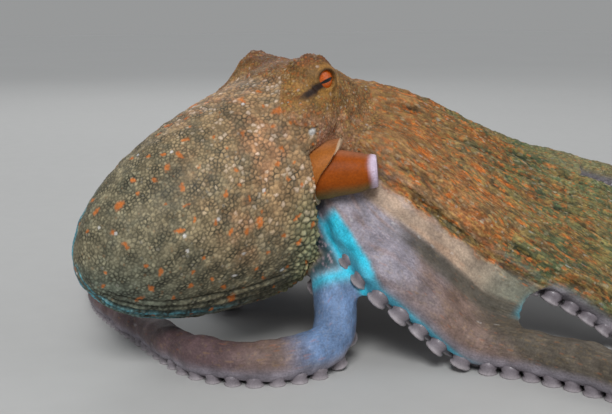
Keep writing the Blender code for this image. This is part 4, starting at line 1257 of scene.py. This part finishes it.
def splitSkin():
    mesh = skin.data
    points, normals, corners = readPoints(mesh), readNormals(mesh), faceCorners(mesh)
    owner = np.where(region["mantle"] > 0.5, 100 + (region["local"][:, 1] > 0), region["first"])
    owner = np.where((region["mantle"] <= 0.5) & (region["head"] > 0.5), 200, owner)
    label = owner[corners[:, 0]]
    groupsOf = {100: ("mantleRight", "mantle_skin", ["mantle"]), 101: ("mantleLeft", "mantle_skin", []),
                200: ("headSkin", "head_skin", ["head"])}
    for i, name in enumerate(armNames):
        nodes = [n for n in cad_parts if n.startswith("arm_" + name)]
        nodes += [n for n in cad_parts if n.startswith("web_" + name)]
        groupsOf[i] = ("arm_" + name + "_skin", "arm_skin", nodes)
    for key, (name, slotName, nodes) in groupsOf.items():
        faces = corners[label == key]
        used, faces = np.unique(faces, return_inverse=True)
        faces = faces.reshape(-1, 3)
        part = newMesh(name, points[used], faces.tolist())
        part.shade_smooth()
        writeAttribute(part, "tint", tint[used], "FLOAT_COLOR")
        writeAttribute(part, "speckle", masks["speckle"][used])
        writeAttribute(part, "place", masks["place"][used], "FLOAT_VECTOR")
        part.materials.append(skinMaterials[slotName])
        part.normals_split_custom_set_from_vertices(normals[used].tolist())
        made = addObject(name, part)
        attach(made, "root")
        if nodes:
            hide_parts(*nodes)
        print("piece", name, len(faces), "triangles")
    bpy.data.objects.remove(skin)


splitSkin()

# suckers: one cup, modelled once and copied along each arm in two rows

cup = {
    "sides": 10, "radius": 0.465, "spacing": 0.47, "start": 22, "startThird": 32, "end": 5, "apart": 0.86,
    "root": 0.70, "rootHigh": 0.55, "outside": (0.19, 0.165, 0.185), "inside": (0.40, 0.36, 0.38),
    "rings": (  # move and growth of each
        (-0.62, 1.26), (-0.40, 0.84), (-0.26, 1.26), (-0.20, 0.94), (0.05, 0.74), (0.34, 0.4),
    ),
    "insideOf": (0, 0, 0.2, 0.9, 1, 0.6, 0.3),  # how much of the inner colour each ring has
}


def makeCup():  # the rim about 0.9 in radius, the opening towards -Z
    bpy.ops.object.select_all(action="DESELECT")
    bpy.ops.mesh.primitive_circle_add(
        vertices=cup["sides"], radius=cup["root"], fill_type="NGON", location=(0, 0, cup["rootHigh"]))
    made = bpy.context.object
    bpy.ops.object.mode_set(mode="EDIT")
    bpy.ops.mesh.select_all(action="SELECT")
    # a cushion, a narrow neck, the thick rim, and then the hollow
    for move, wider in cup["rings"]:
        bpy.ops.mesh.extrude_region_move(TRANSFORM_OT_translate={"value": (0, 0, move)})
        bpy.ops.transform.resize(value=(wider, wider, 1))
    bpy.ops.mesh.select_all(action="SELECT")
    bpy.ops.mesh.normals_make_consistent(inside=False)
    bpy.ops.object.mode_set(mode="OBJECT")
    bpy.ops.object.transform_apply(location=True, rotation=True, scale=True)
    return made


def makeSuckerMaterial():
    made, tree, shader = newMaterial("suckerSkin")
    base = mixed(tree, stored(tree, "inside", "Fac"), (*cup["outside"], 1), (*cup["inside"], 1))
    fill(tree, shader, {
        "Base Color": grow(tree, base, mottled(tree, 260.0, 1400.0, 0.6)),
        "Normal": bumped(tree, wrinkled(tree, 1200.0), 0.2, 0.0003),
        "Roughness": 0.42, "Coat Weight": 0.15,
    })
    return made


def placeSuckers():
    model = makeCup()
    shape = readPoints(model.data)
    faces = [list(p.vertices) for p in model.data.polygons]
    bpy.data.objects.remove(model)
    ringOf = np.arange(len(shape)) // cup["sides"]
    inside = np.array(cup["insideOf"])[ringOf]
    material = makeSuckerMaterial()
    total = 0
    for name in armNames:
        line = lines[name]
        places, place, hand = [], (cup["startThird"] if name in ("r3", "l3") else cup["start"]) * mm, 1
        while place < line["length"] - cup["end"] * mm:
            places.append((place, hand))
            place += max(cup["spacing"] * float(np.interp(place, line["along"], line["radius"])), 0.75 * mm)
            hand = -hand
        places, hands = (np.array(column) for column in zip(*places))
        middle, across, up, tangent, radius = sample(line, places)
        size = radius * cup["radius"] * (1 + 0.06 * np.sin(places * 900))
        deep = radius * armForm["suckerDepth"] / 0.86
        low = armForm["oral"] * np.sqrt(1 - (cup["apart"] / 2) ** 2) + 0.02
        root = middle + across * (hands * cup["apart"] / 2 * radius)[:, None] - up * (radius * low)[:, None]
        verts = root[:, None]
        for i, (way, scale) in enumerate(((tangent, size), (across, size), (up, deep))):
            verts = verts + way[:, None] * (shape[None, :, i] * scale[:, None])[..., None]
        verts = verts.reshape(-1, 3)
        verts[:, 2] = np.maximum(verts[:, 2], 0.05 * mm)
        count = len(shape)
        allFaces = [[i + n * count for i in face] for n in range(len(places)) for face in faces]
        mesh = newMesh("suckers_" + name, verts, allFaces)
        mesh.shade_smooth()
        writeAttribute(mesh, "inside", np.tile(inside, len(places)))
        mesh.materials.append(material)
        made = addObject("suckers_" + name, mesh)
        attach(made, "root")
        total += len(places)
    print("suckers:", total)


placeSuckers()

# funnel: a collar with a thin pale edge, and the tube that comes out of it

funnelForm = {
    "line": ((-19, -24, 88), (-9, -31, 91), (-4, -35, 92), (-2, -37, 92.5), (5.3, -44.7, 93),
             (13, -51.5, 94)),
    "tube": (10.5, 12.0, 12.2, 11.9, 10.2, 8.1), "bore": 5.6, "sides": 56,
    "slant": ((-1, -0.6, -0.25, 0.1, 0.4, 0.7, 1), (-7, -6.6, -5.0, -1.6, 3.2, 6.8, 8.6)),  # height, mm ahead
}


funnelColours = {
    "tube": rgb(0.30, 0.062, 0.003), "collar": rgb(0.36, 0.115, 0.018), "belly": rgb(0.19, 0.16, 0.05),
    "back": rgb(0.38, 0.22, 0.15), "lip": rgb(0.72, 0.60, 0.76), "bore": rgb(0.10, 0.05, 0.05),
    "edge": rgb(0.66, 0.52, 0.36), "inside": rgb(0.33, 0.16, 0.10), "dots": rgb(0.22, 0.06, 0.012),
}


def funnelRings(points, radii, sides):
    ahead = np.gradient(points, axis=0)
    ahead /= np.linalg.norm(ahead, axis=1)[:, None]
    side = np.cross(ahead, [0, 0, 1.0])
    side /= np.linalg.norm(side, axis=1)[:, None]
    up = np.cross(side, ahead)
    turn = 2 * np.pi * np.arange(sides) / sides
    out = side[:, None] * np.cos(turn)[None, :, None] + up[:, None] * np.sin(turn)[None, :, None]
    return points[:, None] + out * radii[:, None, None]


def makeFunnelMaterial():
    made, tree, shader = newMaterial("funnelSkin")
    scaled = grow(tree, stored(tree, "tint", "Color"), mottled(tree, 140.0, 900.0, 0.7))
    dots = useGroup(tree, "dots", {"Scale": 700.0, "Size": 0.4})
    amount = maths(tree, "MULTIPLY", dots.outputs["Mask"], 0.2)
    fill(tree, shader, {
        "Base Color": mixed(tree, amount, scaled, (*funnelColours["dots"], 1)),
        "Normal": bumped(tree, wrinkled(tree, 500.0), 0.25, 0.0004),
        "Roughness": 0.5, "Specular IOR Level": 0.16,
    })
    return made


def wobbled(rings, turn):
    centres = rings.mean(axis=1, keepdims=True)
    return centres + (rings - centres) * (1 + 0.012 * np.sin(turn * 3))[None, :, None]


def funnelTint(kind, rows, turn):
    height, row = np.tile(np.sin(turn), rows), np.repeat(np.arange(rows), len(turn))
    base = np.tile(funnelColours[kind], (len(row), 1))
    base = blended(base, funnelColours["belly"], rise(-0.35, -0.95, height) * 0.8)
    base = blended(base, funnelColours["back"], rise(0.7, 1.0, height) * 0.35)
    if kind == "tube":
        ragged = np.tile(0.4 * np.sin(turn * 3), rows)
        base = blended(base, funnelColours["lip"], rise(30, 32.8, row + ragged) * (row <= 38) * 0.92)
        # the bore is painted dark: painted shade inside the tube's opening
        base = blended(base, funnelColours["bore"], rise(38, 43, row))
    else:
        base = blended(base, funnelColours["edge"], ((row >= 22) & (row <= 23)) * 0.7)
        base = blended(base, funnelColours["inside"], rise(24, 27, row))
    return np.concatenate([base, base[:1], base[-1:]])


def makeFunnel():
    line = np.array(funnelForm["line"], float)
    reach = np.concatenate([[0], np.cumsum(np.linalg.norm(np.diff(line, axis=0), axis=1))])
    sides = funnelForm["sides"]
    turn = 2 * np.pi * np.arange(sides) / sides
    end = reach[-1]

    def follow(places):
        return np.stack([np.interp(places, reach, line[:, i]) for i in range(3)], axis=1)

    lip, bore = [end + 0.9, end + 1.0, end + 0.2], np.linspace(end - 2, end - 20, 8)
    tubeWays = np.concatenate([np.linspace(4, end, 34), lip, bore])
    radii = np.interp(tubeWays, reach, funnelForm["tube"])
    radii *= 1 - 0.05 * np.exp(-((tubeWays - end + 3.8) / 1.3) ** 2)
    radii[34:37] = (funnelForm["tube"][-1] - 0.5, funnelForm["bore"] + 1.2, funnelForm["bore"] + 0.3)
    radii[37:] = np.linspace(funnelForm["bore"], funnelForm["bore"] * 0.7, 8)
    middles = follow(np.minimum(tubeWays, end))
    last = (line[-1] - line[-2]) / np.linalg.norm(line[-1] - line[-2])
    middles = middles + last * np.maximum(tubeWays - end, 0)[:, None]
    tube = funnelRings(middles, radii, sides)
    for row in range(37, len(tubeWays)):  # the bore's rings keep the direction of the tube
        tube[row] = tube[36].mean(axis=0) + (tube[36] - tube[36].mean(axis=0)) * radii[row] / radii[36]
        tube[row] += last * (tubeWays[row] - tubeWays[36])
    collarWays = np.concatenate([np.linspace(0, 19.2, 22), [19.9, 20.0, 19.2], np.linspace(18, 6, 8)])
    collarRadii = np.concatenate([np.interp(collarWays[:22], (0, 8, 14, 19.2), (12.5, 14.8, 15.4, 15.0)),
                                  [14.8, 14.5, 14.1], np.full(8, 13.6)])
    collar = funnelRings(follow(collarWays), collarRadii, sides)
    # the collar stands higher than the tube, and its edge slants back towards the belly
    tube, collar = (wobbled(rings, turn) for rings in (tube, collar))
    grown = np.clip(collarWays / 20, 0, 1)[:, None]
    slant = np.interp(np.sin(turn), *funnelForm["slant"])
    collar = collar + last[None, None] * (slant * grown)[..., None]
    collar[..., 2] += np.clip(np.sin(turn), 0, 1) * grown * 2.0
    mesh = newMesh("funnelSkin", *joinTubes([rings * mm + shift for rings in (tube, collar)]))
    tints = [funnelTint("tube", len(tube), turn), funnelTint("collar", len(collar), turn)]
    mesh.shade_smooth()
    writeAttribute(mesh, "tint", np.concatenate(tints), "FLOAT_COLOR")
    mesh.materials.append(makeFunnelMaterial())
    made = addObject("funnelSkin", mesh)
    faceOutward(mesh)
    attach(made, "root")
    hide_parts("funnel")


makeFunnel()
print("funnel made")

# eyeballs

iris = {"orange": (0.66, 0.125, 0.010), "deep": (0.22, 0.035, 0.004), "pupil": (0.004, 0.003, 0.003),
        "slitLong": 4.3, "slitTall": 0.95, "slitDown": -0.7, "tilt": -0.30}


def makeEyeMaterial():
    made, tree, shader = newMaterial("eyeball")
    place = addNode(tree, "ShaderNodeUVMap", uv_map="irisMap").outputs[0]
    axes = addNode(tree, "ShaderNodeSeparateXYZ", {0: place})
    x, y = axes.outputs[0], axes.outputs[1]
    slant = maths(tree, "MULTIPLY_ADD", x, -iris["tilt"], -iris["slitDown"])
    across = maths(tree, "ADD", y, slant)
    high = maths(tree, "DIVIDE", across, iris["slitTall"])
    wide = maths(tree, "DIVIDE", x, iris["slitLong"])
    size = maths(tree, "ADD", *(maths(tree, "POWER", value, 2.0) for value in (high, wide)))
    pupil = ranged(tree, size, 0.75, 1.15, 1.0, 0.0)
    away = addNode(tree, "ShaderNodeVectorMath", {0: place}, operation="LENGTH").outputs["Value"]
    rim = ranged(tree, away, 4.4, 6.2, 0.0, 0.85)
    streak = addNode(tree, "ShaderNodeMapping", {"Vector": place, "Scale": (0.5, 2.6, 1.0)}).outputs[0]
    noise = addNode(tree, "ShaderNodeTexNoise", {"Vector": streak, "Scale": 1.6, "Detail": 4.0})
    noise = noise.outputs["Fac"]
    grain = ranged(tree, noise, 0.35, 0.7, 0.0, 0.75)
    colour = mixed(tree, grain, (*iris["orange"], 1), (*iris["deep"], 1))
    colour = mixed(tree, rim, colour, (*iris["deep"], 1))
    colour = mixed(tree, pupil, colour, (*iris["pupil"], 1))
    fill(tree, shader, {
        "Base Color": colour, "Roughness": ranged(tree, noise, 0.3, 0.7, 0.16, 0.28),
        "Normal": bumped(tree, noise, 0.05, 0.0002),
        "Coat Weight": 0.5, "Coat Roughness": 0.05, "Specular IOR Level": 0.2,
    })
    return made


def makeEyes():
    material = makeEyeMaterial()
    for hand, side in ((-1, "right"), (1, "left")):
        centre, look, back, up = eyeFrame(hand)
        place = centre * mm + shift
        bpy.ops.object.select_all(action="DESELECT")
        radius = eyeForm["radius"] * mm
        bpy.ops.mesh.primitive_uv_sphere_add(segments=64, ring_count=40, radius=radius, location=place)
        ball = bpy.context.object
        ball.name = "eyeball_" + side
        bpy.ops.object.transform_apply(location=True, rotation=True, scale=True)
        points = readPoints(ball.data)
        offset = (points - place) / mm
        w = offset @ look
        points += look[None] * (0.35 * rise(7.5, 9.5, w) * mm)[:, None]  # the clear front stands out a little
        writePoints(ball.data, points)
        for layer in list(ball.data.uv_layers):
            ball.data.uv_layers.remove(layer)
        layer = ball.data.uv_layers.new(name="irisMap")
        flat = np.stack([offset @ back, offset @ up], axis=1)
        index = np.empty(len(ball.data.loops), np.int32)
        ball.data.loops.foreach_get("vertex_index", index)
        layer.data.foreach_set("uv", flat[index].reshape(-1).astype(np.float32))
        ball.data.shade_smooth()
        ball.data.materials.append(material)
        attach(ball, "root")
        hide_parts("eye_" + side)


makeEyes()
print("eyes made")

# floor and light

stage = {"floor": (0.50, 0.50, 0.49), "world": (0.90, 0.93, 0.97), "worldStrength": 0.36, "sun": 1.25,
         "behind": (0.312, 0.317, 0.319), "sunAngle": 24, "sunFalls": (0.52, 0.62, -0.80),
         "lamps": (  # name, place, aimed at, size, power
             ("key", (-0.75, -0.85, 0.95), (-0.15, 0, 0.05), 0.5, 5.0),
             ("fill", (0.9, -1.2, 0.8), (0, 0, 0.05), 1.2, 4.0),
             ("back", (0.3, 1.3, 1.2), (0, 0, 0.05), 1.0, 5.0))}


def makeStage():
    bpy.ops.object.select_all(action="DESELECT")
    bpy.ops.mesh.primitive_plane_add(size=14, location=(0, 0, 0))
    floor = bpy.context.object
    floor.name = "floor"
    made, tree, shader = newMaterial("floorPaint")
    base = addNode(tree, "ShaderNodeRGB").outputs[0]
    base.default_value = (*stage["floor"], 1)
    paint = grow(tree, base, mottled(tree, 3.0, 60.0, 0.06))
    fill(tree, shader, {"Base Color": paint, "Roughness": 0.8})
    floor.data.materials.append(made)
    world = bpy.data.worlds.new("studio")
    bpy.context.scene.world = world
    world.use_nodes = True
    tree = world.node_tree
    background = tree.nodes["Background"]
    background.inputs[0].default_value = (*stage["world"], 1)
    background.inputs[1].default_value = stage["worldStrength"]
    ray = addNode(tree, "ShaderNodeLightPath").outputs["Is Camera Ray"]
    behind = addNode(tree, "ShaderNodeBackground", {0: (*stage["behind"], 1)})  # as the far floor looks
    both = addNode(tree, "ShaderNodeMixShader", {0: ray, 1: background.outputs[0], 2: behind.outputs[0]})
    tree.links.new(both.outputs[0], tree.nodes["World Output"].inputs[0])
    sun = bpy.data.lights.new("sun", "SUN")
    sun.angle, sun.energy = math.radians(stage["sunAngle"]), stage["sun"]
    lamp = addObject("sun", sun)
    lamp.rotation_euler = Vector(stage["sunFalls"]).to_track_quat("-Z", "Y").to_euler()
    for name, place, aim, size, power in stage["lamps"]:
        light = bpy.data.lights.new(name, "AREA")
        light.size = size
        light.energy = power
        lamp = addObject(name, light)
        lamp.location = place
        lamp.rotation_euler = (Vector(aim) - Vector(place)).to_track_quat("-Z", "Y").to_euler()


makeStage()
bpy.context.scene.view_settings.view_transform = "Standard"  # plain colours come out as they are
print("scene ready")
